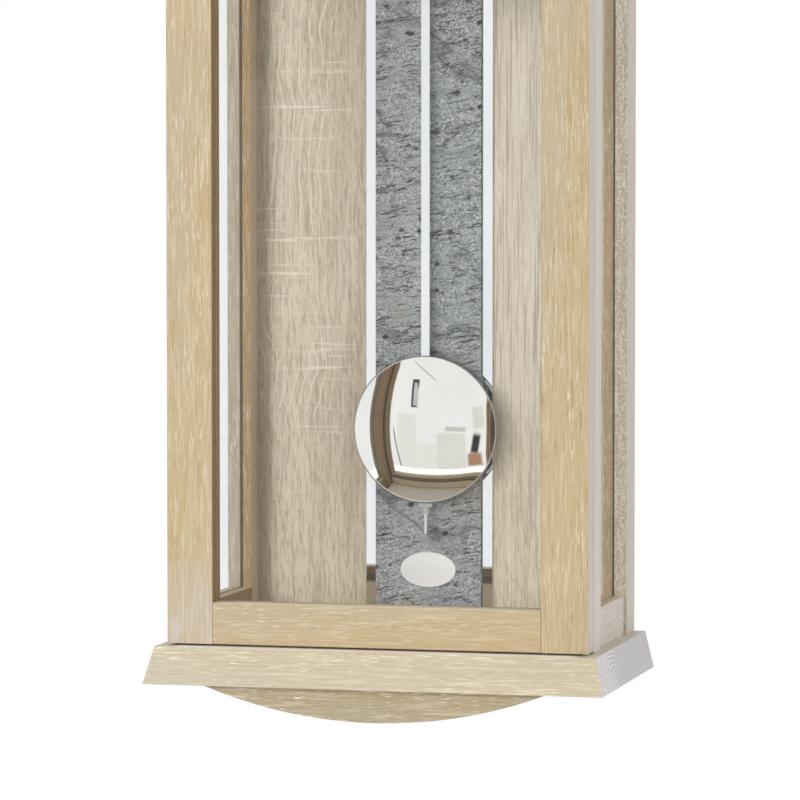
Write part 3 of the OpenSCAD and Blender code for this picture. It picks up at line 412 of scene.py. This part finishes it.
pale = {"warm": (205, 192, 165), "cool": (201, 192, 172), "fine": (190, 176, 147)}
deep = {"warm": (184, 169, 140), "cool": (179, 167, 144), "fine": (152, 136, 108), "lime": (220, 209, 186)}
grey = {"warm": (201, 187, 163), "cool": (199, 189, 173), "fine": (174, 158, 134), "lime": (230, 223, 212)}
greyer = dict(grey, outer=(203, 194, 185))
sidePaneX = min(abs(v.co.x) for v in nodes["side_glass"].data.vertices)
oakUp = makeOak("limedOakUpright", "Z", 0.3, lime=0.9, inner=0.95, rear=0.85, worn=0.6)
oakUpRight = makeOak("limedOakUprightRight", "Z", 1.9, lime=0.9, lines=1.3, inner=0.95, rear=0.85)
oakAcross = makeOak("limedOakAcross", "X", 0.9, lime=0.8, lines=0.7, rear=0.85)
oakFoot = makeOak("limedOakFoot", "X", 0.9, lime=0.8, lines=0.7, rear=0.9, foot=True)
oakPlinth = makeOak("limedOakPlinth", "X", 4.4, lime=1.4, lines=0.4, ends=True, tones=pale)
oakApron = makeOak("limedOakApron", "X", 2.6, lime=1.45, tones=deep)
oakDeep = makeOak("limedOakDeep", "Y", 1.4, lime=1.2, inner=0.9, stipple=0.8)
oakPost = makeOak("limedOakPost", "Z", 3.1, inner=0.85, rear=0.7, tones={"outer": (216, 210, 206)})
oakBack = makeOak("limedOakBackFrame", "Z", 5.2, lime=1.3, stipple=0.8, tones=greyer,
                  within=sidePaneX, gold=0.98)
oakBackLeft = makeOak("limedOakBackLeft", "Z", 6.4, lime=1.6, tones=grey, within=sidePaneX, gold=1.07)
oakBackRail = makeOak("limedOakBackRail", "X", 7.3)

boardLook = {
    "light": (240, 230, 209),
    "middle": (218, 205, 182),
    "dark": (162, 145, 120),        # streaks and fine lines
    "shade": (134, 117, 96),        # painted shadow of the left stile, a dark strip beside it
    "calm": (224, 217, 199),        # evens out the right-hand board
    "wave": (252, 246, 230),        # lines that wander along the grain
    "saw": (250, 243, 226),         # lines that the saw left across it
    "waveCount": 120.0,             # wandering lines per metre
    "lean": 7,                      # degrees that the dark dashes lean away from the grain
    # places, in metres
    "leftBoard": (0.0, -0.03),      # where the left-hand board's evening out sets in
    "rightBoard": (0.0, 0.03),      # and the right-hand board's
    "upper": (-0.575, -0.515),      # the figure is strong above this height
    "waveEdge": (-0.085, -0.06),    # wandering lines are strong to the left of this
    "sawEdge": (-0.088, -0.045),    # and so are the saw's
    "shadeEdge": (-0.1235, -0.1175),    # right-hand edge of the dark strip
    "waveSway": 0.05,               # how far a wandering line strays
    "shadeSway": 0.016,             # and the dark strip's edge
}


def swayed(s, place, drift, far):
    # the place from left to right, moved by a slow pattern
    return s.maths("ADD", place["X"], s.times(s.maths("SUBTRACT", drift, 0.5), far))


def boardWaves(s, place, fine, upper, look):
    # pale lines that wander along the grain where it was cut aslant
    drift = s.noise(s.mapped((9, 9, 13), (4, 0, 2.2)), 2.0, 0.55)
    stray = swayed(s, place, drift, look["waveSway"])
    wave = s.ridge(s.maths("FRACT", s.times(stray, look["waveCount"])), 0.10)
    some = s.between(s.noise(s.mapped((14, 14, 9), (6, 0, 4.2)), 2.0), 0.36, 0.50, 0.1, 1.0)
    left = s.between(place["X"], *look["waveEdge"], 1.0, 0.25)
    return s.times(wave, some, left, s.between(fine, 0.3, 0.6, 0.3, 1.0), s.most(upper, 0.3))


def boardSaw(s, place, upper, look):
    # short pale lines across the grain, left by the saw
    left = s.between(place["X"], *look["sawEdge"], 1.0, 0.08)
    patch = s.between(s.noise(s.mapped((10, 10, 8), (5.1, 0, 3.3)), 1.0), 0.36, 0.50, 0.2, 1.0)
    line = s.between(s.noise(s.mapped((7, 7, 230), (0, 0, 0.5)), 2.0, 0.6, 0.03), 0.595, 0.645)
    gap = s.between(s.noise(s.mapped((110, 110, 300)), 2.0), 0.32, 0.50)
    return s.times(patch, line, gap, left, s.most(upper, 0.15))


def makeBoards(look=boardLook):
    s = Shade("limedOakBoards")
    place = s.split(s.coord)
    figure = s.noise(s.mapped(grained("Z", 34, 4.5), (2.3, 0, 0.8)), 3.0, 0.55, 0.8)
    fine = s.noise(s.mapped(grained("Z", 560, 40)), 4.0, 0.65, 0.4)
    dash = s.noise(s.mapped(grained("Z", 900, 110), source=s.turned(look["lean"])), 2.0, 0.6)
    color = s.tones(figure, 0.36, 0.62, look["light"], look["middle"])
    color = s.laid(color, look["dark"], s.between(fine, 0.45, 0.66, 0.0, 0.7))
    color = s.laid(color, look["dark"], s.between(dash, 0.55, 0.68, 0.0, 0.7))
    color = s.laid(color, look["light"], s.between(dash, 0.45, 0.32, 0.0, 0.7))
    color = s.laid(color, look["middle"], s.between(place["X"], *look["leftBoard"], 0.0, 0.3))
    # the right-hand board is calmer, with long fine lines
    upper = s.between(place["Z"], *look["upper"])
    right = s.times(s.between(place["X"], *look["rightBoard"]), s.most(upper, 0.6))
    color = s.laid(color, look["calm"], s.times(right, 0.64))
    line = s.noise(s.mapped(grained("Z", 1050, 14), (0, 0, 3)), 2.0, 0.5)
    color = s.laid(color, look["dark"], s.times(right, s.between(line, 0.52, 0.62, 0.0, 0.6)))
    color = s.laid(color, look["wave"], s.times(boardWaves(s, place, fine, upper, look), 0.95))
    saw = boardSaw(s, place, upper, look)
    color = s.laid(color, look["saw"], s.times(saw, 0.75))
    # painted shadow beside the left stile, its edge wavy
    wander = s.noise(s.mapped((30, 30, 16), (1, 0, 7)), 3.0, 0.6)
    edge = swayed(s, place, wander, look["shadeSway"])
    color = s.laid(color, look["shade"], s.between(edge, *look["shadeEdge"], 0.35, 0.0))
    height = s.maths("ADD", s.times(fine, 0.9), s.times(saw, 0.4))
    return s.finish(s.surface(color, 0.62, normal=s.bump(height, 0.5, 0.00014), specular=0.3))


slateLook = {
    "light": (224, 230, 232),
    "middle": (180, 186, 189),
    "dark": (116, 121, 124),
    "crack": (50, 53, 56),
    "glint": (240, 243, 243),
    "rust": (186, 174, 152),
    "paintedLightLeft": 0.1,             # painted light: the strip is a little lighter left of the pendulum rod
    "paintedShadowRight": 0.15,            # and darker right of it, painted shadow of the rod and bob
    "sideEdge": (0.002, -0.004),    # metres over which the left side's change sets in
    "rise": 12,                     # degrees that the cracks rise to the right
    "fall": -30,                    # and that the few long bands fall
    "edge": 0.00015,                # metres, how far the edge's dark line reaches inwards
}


def slateCracks(s, rising, vein):
    # wandering cracks, broken where a mask closes, with short dashes, a vein and pits
    lineA = s.ridge(s.noise(s.mapped((13, 30, 120), (3, 0, 1), rising), 4.0, 0.62, 0.25), 0.016)
    lineB = s.ridge(s.noise(s.mapped((22, 30, 170), (9, 0, 6), rising), 3.0, 0.6, 0.2), 0.013)
    some = s.between(s.noise(s.mapped((55, 55, 75), (1, 4, 1)), 2.0), 0.47, 0.57)
    more = s.between(s.noise(s.mapped((70, 70, 90), (6, 4, 8)), 2.0), 0.50, 0.58)
    dash = s.between(s.noise(s.mapped((110, 110, 480), (7, 0, 5), rising), 2.0, 0.6), 0.62, 0.68)
    pitCell = s.cells(s.mapped((68, 90, 105), (0.3, 0, 0.6), rising))
    pitSome = s.between(s.noise(s.mapped((40, 40, 40), (6, 1, 6)), 1.0), 0.42, 0.50)
    pits = s.times(s.between(pitCell, 0.11, 0.22, 1.0, 0.0), pitSome)
    lines = s.most(s.times(lineA, some), s.times(lineB, more, 0.8))
    return s.most(lines, s.times(dash, 0.4), s.times(vein, 0.4), pits)


def makeSlate(look=slateLook):
    s = Shade("splitSlate")
    place = s.split(s.coord)
    rising, falling = s.turned(look["rise"]), s.turned(look["fall"])
    grit = s.noise(s.mapped((800, 800, 900)), 3.0, 0.75)
    flake = s.noise(s.mapped((150, 200, 420), source=rising), 4.0, 0.75, 0.4)
    broad = s.noise(s.mapped((26, 40, 50), source=rising), 3.0, 0.55, 0.6)
    stain = s.noise(s.mapped((18, 18, 18), (5, 0, 1)), 3.0, 0.6)
    color = s.tones(grit, 0.36, 0.62, look["dark"], look["light"])
    color = s.laid(color, look["middle"], s.between(broad, 0.42, 0.66, 0.0, 0.6))
    color = s.laid(color, look["dark"], s.between(flake, 0.46, 0.34, 0.0, 0.7))
    color = s.laid(color, look["rust"], s.between(stain, 0.55, 0.72, 0.0, 0.45))
    start, end = look["sideEdge"]
    # painted light left of the rod, and painted shadow right of it
    color = s.laid(color, look["light"], s.between(place["X"], start, end, 0.0, look["paintedLightLeft"]))
    color = s.laid(color, look["dark"], s.between(place["X"], -start, -end, 0.0, look["paintedShadowRight"]))
    glint = s.times(s.between(flake, 0.56, 0.66), s.between(grit, 0.46, 0.58))
    color = s.laid(color, look["glint"], s.times(glint, 0.85))
    # a few broad dark bands with a thin line in them
    fall = s.noise(s.mapped((7, 8, 24), (8, 0, 4.4), falling), 3.0, 0.6, 0.3)
    fallSome = s.between(s.noise(s.mapped((14, 14, 14), (2, 2, 2)), 1.0), 0.47, 0.56)
    color = s.laid(color, look["dark"], s.times(s.ridge(fall, 0.05), fallSome, 0.5))
    cracks = slateCracks(s, rising, s.times(s.ridge(fall, 0.012), fallSome))
    half = reach("slate_strip", "X")
    edge = s.between(s.unsigned(place["X"]), half - look["edge"], half + look["edge"])
    cracks = s.most(cracks, edge)
    color = s.laid(color, look["crack"], s.times(cracks, 0.9))
    height = s.maths("ADD", s.times(flake, 1.8), s.times(grit, 0.8))
    height = s.maths("SUBTRACT", height, s.times(cracks, 1.4))
    return s.finish(s.surface(color, 0.66, normal=s.bump(height, 1.0, 0.0008), specular=0.4))


glassLook = {
    "edge": (128, 108, 80),         # the panes' narrow edges
    "smear": 1,                     # how much darker a faint smear is, of 255
}


def makeGlass(name, tint, bend, thin):
    # Clear glass: the faces bend and mirror what is seen in them and let lamp light straight through,
    # and the narrow edges, where a pane's own normal is not along its thin axis, look dark
    s = Shade(name)
    smear = s.noise(s.mapped((9, 9, 9)), 2.0)
    pane = s.add("ShaderNodeBsdfGlass")
    s.put(pane.inputs["Color"], s.tones(smear, 0.3, 0.7, tint, [c - glassLook["smear"] for c in tint]))
    pane.inputs["IOR"].default_value = bend
    pane.inputs["Roughness"].default_value = 0.0
    clear = s.clear()
    clear.inputs["Color"].default_value = linear(tint)
    rays = s.rays()
    lit = s.most(rays["Is Shadow Ray"], rays["Is Diffuse Ray"])
    faces = s.either(lit, pane.outputs[0], clear.outputs[0])
    edge = s.within(s.split(s.normal)[thin], 0.4, 0.6)
    ground = s.add("ShaderNodeBsdfDiffuse")
    ground.inputs["Color"].default_value = linear(glassLook["edge"])
    return s.finish(s.either(s.times(edge, s.maths("SUBTRACT", 1.0, lit)), faces, ground.outputs[0]))


mirrorLook = {"haze": (242, 245, 246), "bright": (250, 251, 251)}


def makeMirror(look=mirrorLook):
    s = Shade("silveredMirror")
    haze = s.noise(s.mapped((30, 30, 8)), 3.0)
    return s.finish(s.surface(s.tones(haze, 0.3, 0.7, look["haze"], look["bright"]), 0.02, metal=1.0))


rimLook = {
    "tone": (132, 130, 124),        # painted shade, a darker ring round the bob's edge
    "share": 0.8,
    "begins": 0.0011,               # metres inside the bob's edge where it begins and where it is full
    "full": 0.0007,
}


def shadedRim(s, color, centreZ, radius, look=rimLook):
    # the distance from the bob's middle, seen from the front, tells where the ring is
    place = s.split(s.coord)
    up = s.maths("SUBTRACT", place["Z"], centreZ)
    away = s.maths("SQRT", s.maths("ADD", s.times(up, up), s.times(place["X"], place["X"])))
    # painted shade round the bob's edge
    ring = s.between(away, radius - look["begins"], radius - look["full"], 0.0, look["share"])
    return s.laid(color, look["tone"], ring)


def makeMetal(name, tone, shade, rough, scratch, axis="Z", spots=0.0, rim=None):
    # fine scratches along one axis and a slow change of tone
    s = Shade(name)
    line = s.noise(s.mapped(grained(axis, 2600, 40)), 2.0, 0.6)
    cloud = s.noise(s.mapped((22, 22, 22)), 3.0)
    color = s.tones(cloud, 0.32, 0.68, tone, shade)
    if spots:
        # a few darker specks
        speck = s.between(s.noise(s.mapped((420, 420, 420)), 2.0), 0.66, 0.74, 0.0, spots)
        color = s.laid(color, scaled(shade, 0.55), speck)
    if rim:
        color = shadedRim(s, color, *rim)
    roughness = s.between(line, 0.3, 0.7, rough * 0.8, rough * 1.25)
    return s.finish(s.surface(color, roughness, metal=1.0, normal=s.bump(line, scratch, 0.00003)))


def makeLacquer(name, tone, shade, rough, coat=0.3, specular=0.5):
    s = Shade(name)
    cloud = s.noise(s.mapped((60, 60, 60)), 3.0)
    peel = s.noise(s.mapped((700, 700, 700)), 2.0)
    color = s.tones(cloud, 0.3, 0.7, tone, shade)
    return s.finish(s.surface(color, s.between(peel, 0.3, 0.7, rough * 0.9, rough * 1.15),
                              normal=s.bump(peel, 0.12, 0.00003), coat=coat, specular=specular))


nickelTones = (249, 248, 243), (244, 243, 238)
bobRadius = reach("bob_shell", "X")
bobHeight = reach("bob_shell", "Z") - bobRadius
backBoards = makeBoards()
slate = makeSlate()
doorPane = makeGlass("doorGlass", (254, 254, 254), 1.3, "Y")
sidePane = makeGlass("sideGlass", (253, 254, 255), 1.1, "X")
mirror = makeMirror()
nickel = makeMetal("polishedNickel", *nickelTones, 0.03, 0.02)
bobNickel = makeMetal("bobNickel", *nickelTones, 0.03, 0.02, rim=(bobHeight, bobRadius))
rodMetal = makeMetal("brushedNickelRod", (252, 254, 254), (248, 251, 252), 0.2, 0.15)
nutMetal = makeMetal("nickelNut", (236, 238, 240), (222, 225, 227), 0.45, 0.2, "X")
brass = makeMetal("clockBrass", (222, 188, 112), (206, 170, 94), 0.26, 0.35, "X", spots=0.25)
brassTurned = makeMetal("turnedBrass", (228, 196, 122), (212, 178, 104), 0.18, 0.2, "Y")
steel = makeMetal("brightSteel", (200, 202, 205), (178, 180, 184), 0.24, 0.3)
blueSteel = makeMetal("springSteel", (86, 92, 108), (64, 70, 88), 0.3, 0.3)
iron = makeMetal("plainIron", (96, 96, 98), (74, 74, 77), 0.5, 0.6, spots=0.4)
magnetGrey = makeMetal("magnetPlate", (140, 141, 145), (118, 120, 124), 0.32, 0.2)
dialWhite = makeLacquer("dialLacquer", (237, 239, 239), (234, 236, 237), 0.34)
handBlack = makeLacquer("blackLacquer", (34, 35, 38), (24, 25, 28), 0.28)
enamel = makeLacquer("whiteEnamel", (254, 255, 255), (252, 254, 255), 0.3, coat=1.0, specular=0.9)
print("stage: materials made")

easing = {
    "radius": 0.00028,              # rounding on the long edges of the wood
    "steps": 2,
    "longEdge": 0.008,              # shorter edges, such as those round screw holes, stay sharp
    "apronRadius": 0.0004,
    "apronEdge": 0.0005,            # the apron's curve is made of short edges
    "same": 1e-6,                   # corners closer than this are one
    "flat": 0.5,                    # degrees between faces that are joined up
    "sharp": 25,                    # degrees between faces whose edge is rounded
}


def ease(name, material, longEdge, radius):
    # a copy of a CAD piece with its flat faces joined up again and its long edges rounded a little
    mesh = bpy.data.meshes.new(name + "Eased")
    bm = bmesh.new()
    bm.from_mesh(nodes[name].data)
    bmesh.ops.remove_doubles(bm, verts=bm.verts, dist=easing["same"])
    bmesh.ops.dissolve_limit(bm, angle_limit=math.radians(easing["flat"]), verts=bm.verts, edges=bm.edges)
    weight = bm.edges.layers.float.new("bevel_weight_edge")
    for e in bm.edges:
        sharp = len(e.link_faces) == 2 and e.calc_face_angle() > math.radians(easing["sharp"])
        e[weight] = 1.0 if sharp and e.calc_length() > longEdge else 0.0
    bm.to_mesh(mesh)
    bm.free()
    piece = bpy.data.objects.new(name + "Eased", mesh)
    bpy.context.scene.collection.objects.link(piece)
    bevel = piece.modifiers.new("easedEdges", "BEVEL")
    bevel.limit_method = "WEIGHT"
    bevel.width = radius
    bevel.segments = easing["steps"]
    bevel.use_clamp_overlap = False
    bevel.harden_normals = False
    mesh.materials.append(material)
    body = nodes[name]["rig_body"]
    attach(piece, body)
    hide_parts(name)


woodPieces = {
    "door_left_stile": oakUp, "door_right_stile": oakUpRight,
    "door_top_rail": oakAcross, "door_bottom_rail": oakFoot,
    "left_front_post": oakPost, "right_front_post": oakPost,
    "left_back_stile": oakBackLeft, "right_back_stile": oakBack,
    "back_top_rail": oakBackRail, "back_bottom_rail": backBoards,
    "plinth": oakPlinth, "cornice": oakPlinth, "apron": oakApron,
    "side_rails": oakDeep, "glazing_beads": oakPost,
}
for pieceName, oak in woodPieces.items():
    if pieceName == "apron":
        ease(pieceName, oak, easing["apronEdge"], easing["apronRadius"])
    else:
        ease(pieceName, oak, easing["longEdge"], easing["radius"])
print("stage: wood eased")

plainPieces = {
    "back_panel": backBoards, "slate_strip": slate, "mirror_strip": mirror, "oval_plate": enamel,
    "door_glass": doorPane, "side_glass": sidePane,
    "hanger_plate": steel, "case_screws": steel, "panel_screws": steel, "pivot_pins": steel,
    "catch_magnet": magnetGrey, "strike_disc": steel,
    "front_plate": brass, "rear_plate": brass, "plate_pillars": brassTurned, "plate_screws": steel,
    "movement_posts": brassTurned, "suspension_cock": brass,
    "dial_plate": dialWhite, "dial_bezel": nickel, "hour_marks": handBlack,
    "barrel": brassTurned, "mainspring": blueSteel, "winding_arbor": steel, "ratchet_wheel": steel,
    "click": steel, "second_wheel": brass, "centre_wheel": brass, "centre_arbor": steel,
    "cannon_pinion": steel, "minute_wheel": brass, "hour_wheel": brass,
    "hour_hand": handBlack, "minute_hand": handBlack, "hand_nut": brassTurned,
    "third_wheel": brass, "escape_wheel": brass, "anchor": steel, "crutch": steel,
    "suspension_spring": brass, "pendulum_rod": rodMetal,
    "bob_shell": bobNickel, "bob_weight": iron, "bob_back": nickel, "rating_nut": nutMetal,
}
for pieceName, finish in plainPieces.items():
    nodes[pieceName].data.materials.clear()
    nodes[pieceName].data.materials.append(finish)
print("stage: metal, glass and slate dressed")


room = {
    "floorDrop": 1.02,              # floor below the hanger hole
    "floorHalf": 0.8,
    "middleY": -0.1,                # middle of the floor, under the clock
    "floorTones": ((0.80, 0.80, 0.80, 1), (0.82, 0.82, 0.82, 1)),
    "glowNear": (0.25, 0.3),        # distance where the floor's glow begins to rise, and its strength there
    "glowFar": (0.95, 1.0),         # share of the half size where it is full, and its strength there
    "white": (1, 1, 1, 1),
    "soft": (1.0, 0.985, 0.965, 1),     # light from all sides
    "ambient": 0.5,
    "cool": (0.985, 0.99, 1.0, 1),      # what metal and glass see of the room
    "shine": 0.96,
}


def flat(name, centre, width, height, facing, material):
    # a flat panel of the given size whose face looks along the given direction
    out = Vector(facing).normalized()
    side = Vector((0, 0, 1)).cross(out)
    side = side.normalized() if side.length > 1e-6 else Vector((1, 0, 0))
    across, up = side * width / 2, out.cross(side) * height / 2
    corners = [Vector(centre) + a * across + b * up for a, b in ((-1, -1), (1, -1), (1, 1), (-1, 1))]
    mesh = bpy.data.meshes.new(name)
    mesh.from_pydata([tuple(v) for v in corners], [], [(0, 1, 2, 3)])
    mesh.materials.append(material)
    o = bpy.data.objects.new(name, mesh)
    bpy.context.scene.collection.objects.link(o)
    return o


def makeFloor():
    s = Shade("floorPaint")
    speck = s.noise(s.mapped((40, 40, 40)), 2.0)
    matt = s.add("ShaderNodeBsdfDiffuse")
    s.put(matt.inputs["Color"], s.mix(s.between(speck, 0.3, 0.7), *room["floorTones"]))
    rays = s.rays()
    seen = s.most(rays["Is Camera Ray"], rays["Is Glossy Ray"], rays["Is Transmission Ray"])
    # the glow rises away from the clock, so that the floor's edge melts into the white around it
    away = s.add("ShaderNodeVectorMath", operation="LENGTH")
    s.put(away.inputs[0], s.mapped((1, 1, 0), (0, -room["middleY"], 0)))
    (near, dim), (far, full) = room["glowNear"], room["glowFar"]
    glow = s.add("ShaderNodeEmission")
    glowing = s.between(away.outputs["Value"], near, room["floorHalf"] * far, dim, full)
    s.put(glow.inputs["Strength"], s.times(seen, glowing))
    both = s.add("ShaderNodeAddShader")
    s.put(both.inputs[0], matt.outputs[0])
    s.put(both.inputs[1], glow.outputs[0])
    # seen from below the floor is clear
    under = s.add("ShaderNodeNewGeometry").outputs["Backfacing"]
    return s.finish(s.either(under, both.outputs[0], s.clear().outputs[0]))


def makeGlow(name, tone, half, soft):
    # shows only to rays that metal or glass has mirrored, and fades near the panel's edges
    s = Shade(name)
    place = s.split(s.coord)
    fade = s.times(*(s.within(place[axis], h * (1 - soft), h) for axis, h in zip("XZ", half)))
    glow = s.add("ShaderNodeEmission")
    glow.inputs["Color"].default_value = linear(tone)
    return s.finish(s.either(s.times(s.mirrored(), fade), s.clear().outputs[0], glow.outputs[0]))


floorSide = 2 * room["floorHalf"]
flat("floor", (0, room["middleY"], -room["floorDrop"]), floorSide, floorSide, (0, 0, 1), makeFloor())


def towards(azimuth, elevation):
    # direction from the clock, degrees to its right from the front, and degrees up
    a, e = math.radians(azimuth), math.radians(elevation)
    return Vector((math.sin(a) * math.cos(e), -math.cos(a) * math.cos(e), math.sin(e)))


bobSight = {
    "centre": (0, -0.045, -0.538),  # the panels hang around this point, just before the bob
    "reach": 1.5,
    "step": 0.01,                   # each panel hangs this much nearer than the one before
    # name: (azimuth, elevation, width and height in degrees, tilt, share that fades, tone)
    "panels": {
        "floorBand": (0, -36, 76, 12, 0, 0.05, (244, 240, 228)),
        "windowFrame": (-19.6, 19.5, 4.6, 18, -4, 0.06, (62, 62, 66)),
        "windowPane": (-19.4, 19, 2.2, 15, -4, 0.1, (196, 200, 204)),
        "windowReveal": (-17.6, 17, 1.0, 15, -4, 0.3, (216, 218, 218)),
        "ceilingEdge": (-15, 34, 22, 0.9, 34, 0.5, (170, 172, 170)),
        "cupboard": (-24, -13, 13.5, 42, 0, 0.12, (236, 239, 234)),
        "cupboardLow": (-10.6, -22.5, 12.6, 24, 0, 0.15, (239, 241, 236)),
        "cupboardEdge": (-31.4, -14, 1.1, 30, -6, 0.5, (104, 108, 108)),
        "wall": (5.5, -18, 20, 27, 0, 0.12, (231, 232, 226)),
        "shelf": (8.4, -2.6, 15.5, 3.4, 2, 0.3, (206, 206, 201)),
        "curtain": (23.2, 5, 8.5, 16, -6, 0.3, (228, 228, 219)),
        "chair": (21.5, -12, 6.5, 17, 8, 0.5, (38, 36, 34)),
        "chairSeat": (21.5, -22, 11, 10, -6, 0.4, (172, 132, 106)),
    },
}


def onlyInShine(o):
    # the panel shows in polished metal and glass only, and casts no light or shadow on wood
    o.visible_camera = False
    o.visible_diffuse = False
    o.visible_shadow = False
    o.visible_volume_scatter = False


def hangPanels():
    for i, (name, (az, el, wide, high, tilt, soft, tone)) in enumerate(bobSight["panels"].items()):
        away = towards(az, el)
        far = bobSight["reach"] - bobSight["step"] * i
        half = [far * math.tan(math.radians(size / 2)) for size in (wide, high)]
        o = flat(name, (0, 0, 0), 2 * half[0], 2 * half[1], (0, -1, 0), makeGlow(name, tone, half, soft))
        turn = away.to_track_quat("-Y", "Z").to_matrix().to_4x4()
        lean = Matrix.Rotation(math.radians(tilt), 4, "Y")
        o.matrix_world = Matrix.Translation(Vector(bobSight["centre"]) + away * far) @ turn @ lean
        onlyInShine(o)


def backdrop(w, tone, strength):
    n = w.add("ShaderNodeBackground")
    n.inputs["Color"].default_value = tone
    n.inputs["Strength"].default_value = strength
    return n.outputs[0]


def buildWorld():
    world = bpy.data.worlds.new("studio")
    bpy.context.scene.world = world
    world.use_nodes = True
    w = NodeTree(world.node_tree)
    rays = w.rays()
    white = backdrop(w, room["white"], 1.0)
    soft = backdrop(w, room["soft"], room["ambient"])
    shine = backdrop(w, room["cool"], room["shine"])
    shown = w.most(rays["Is Glossy Ray"], rays["Is Camera Ray"], rays["Is Transmission Ray"])
    out = w.add("ShaderNodeOutputWorld")
    w.put(out.inputs["Surface"], w.either(shown, soft, w.either(w.mirrored(), white, shine)))


lampAim = (0, -0.05, -0.45)
lamps = {
    # name: (place, size, power, tone)
    "key": ((-1.7, -2.4, 0.3), 1.1, 30, (1.0, 0.99, 0.97)),
    "front": ((-0.4, -3.1, -0.2), 1.0, 19, (1.0, 0.992, 0.98)),
    "side": ((2.6, -0.6, -0.1), 1.4, 24, (0.97, 0.98, 1.0)),
    "back": ((-0.9, 2.6, 0.3), 1.4, 24, (1.0, 0.99, 0.98)),
    "top": ((0.1, -0.2, 1.0), 0.8, 3.2, (1.0, 0.995, 0.99)),
}


def hangLamp(name, place, size, power, tone):
    data = bpy.data.lights.new(name, "AREA")
    data.shape = "SQUARE"
    data.size = size
    data.energy = power
    data.color = tone
    o = bpy.data.objects.new(name, data)
    bpy.context.scene.collection.objects.link(o)
    o.location = place
    o.rotation_euler = (Vector(lampAim) - Vector(place)).to_track_quat("-Z", "Y").to_euler()
    o.visible_glossy = False
    o.visible_transmission = False


camera = {
    "azimuth": 13.99,               # degrees, fitted to the photograph's edges
    "elevation": 2.96,
    "distance": 2.9764,
    "target": (0.00289, -0.114, -0.5124),
    "focal": 4235.5,                # focal length, in pixels of a picture that is this wide
    "pixels": 800,
    "sensor": 36,                   # millimetres
    "farthest": 50,
}


def placeCamera():
    data = bpy.data.cameras.new("camera")
    data.sensor_width = camera["sensor"]
    data.lens = camera["focal"] / camera["pixels"] * camera["sensor"]
    data.clip_end = camera["farthest"]
    o = bpy.data.objects.new("camera", data)
    bpy.context.scene.collection.objects.link(o)
    back = towards(camera["azimuth"], camera["elevation"])
    o.location = Vector(camera["target"]) + back * camera["distance"]
    o.rotation_euler = (-back).to_track_quat("-Z", "Y").to_euler()
    bpy.context.scene.camera = o


hangPanels()
buildWorld()
for lampName, settings in lamps.items():
    hangLamp(lampName, *settings)
placeCamera()
bpy.context.scene.view_settings.view_transform = "Standard"
print("stage: light and camera placed")
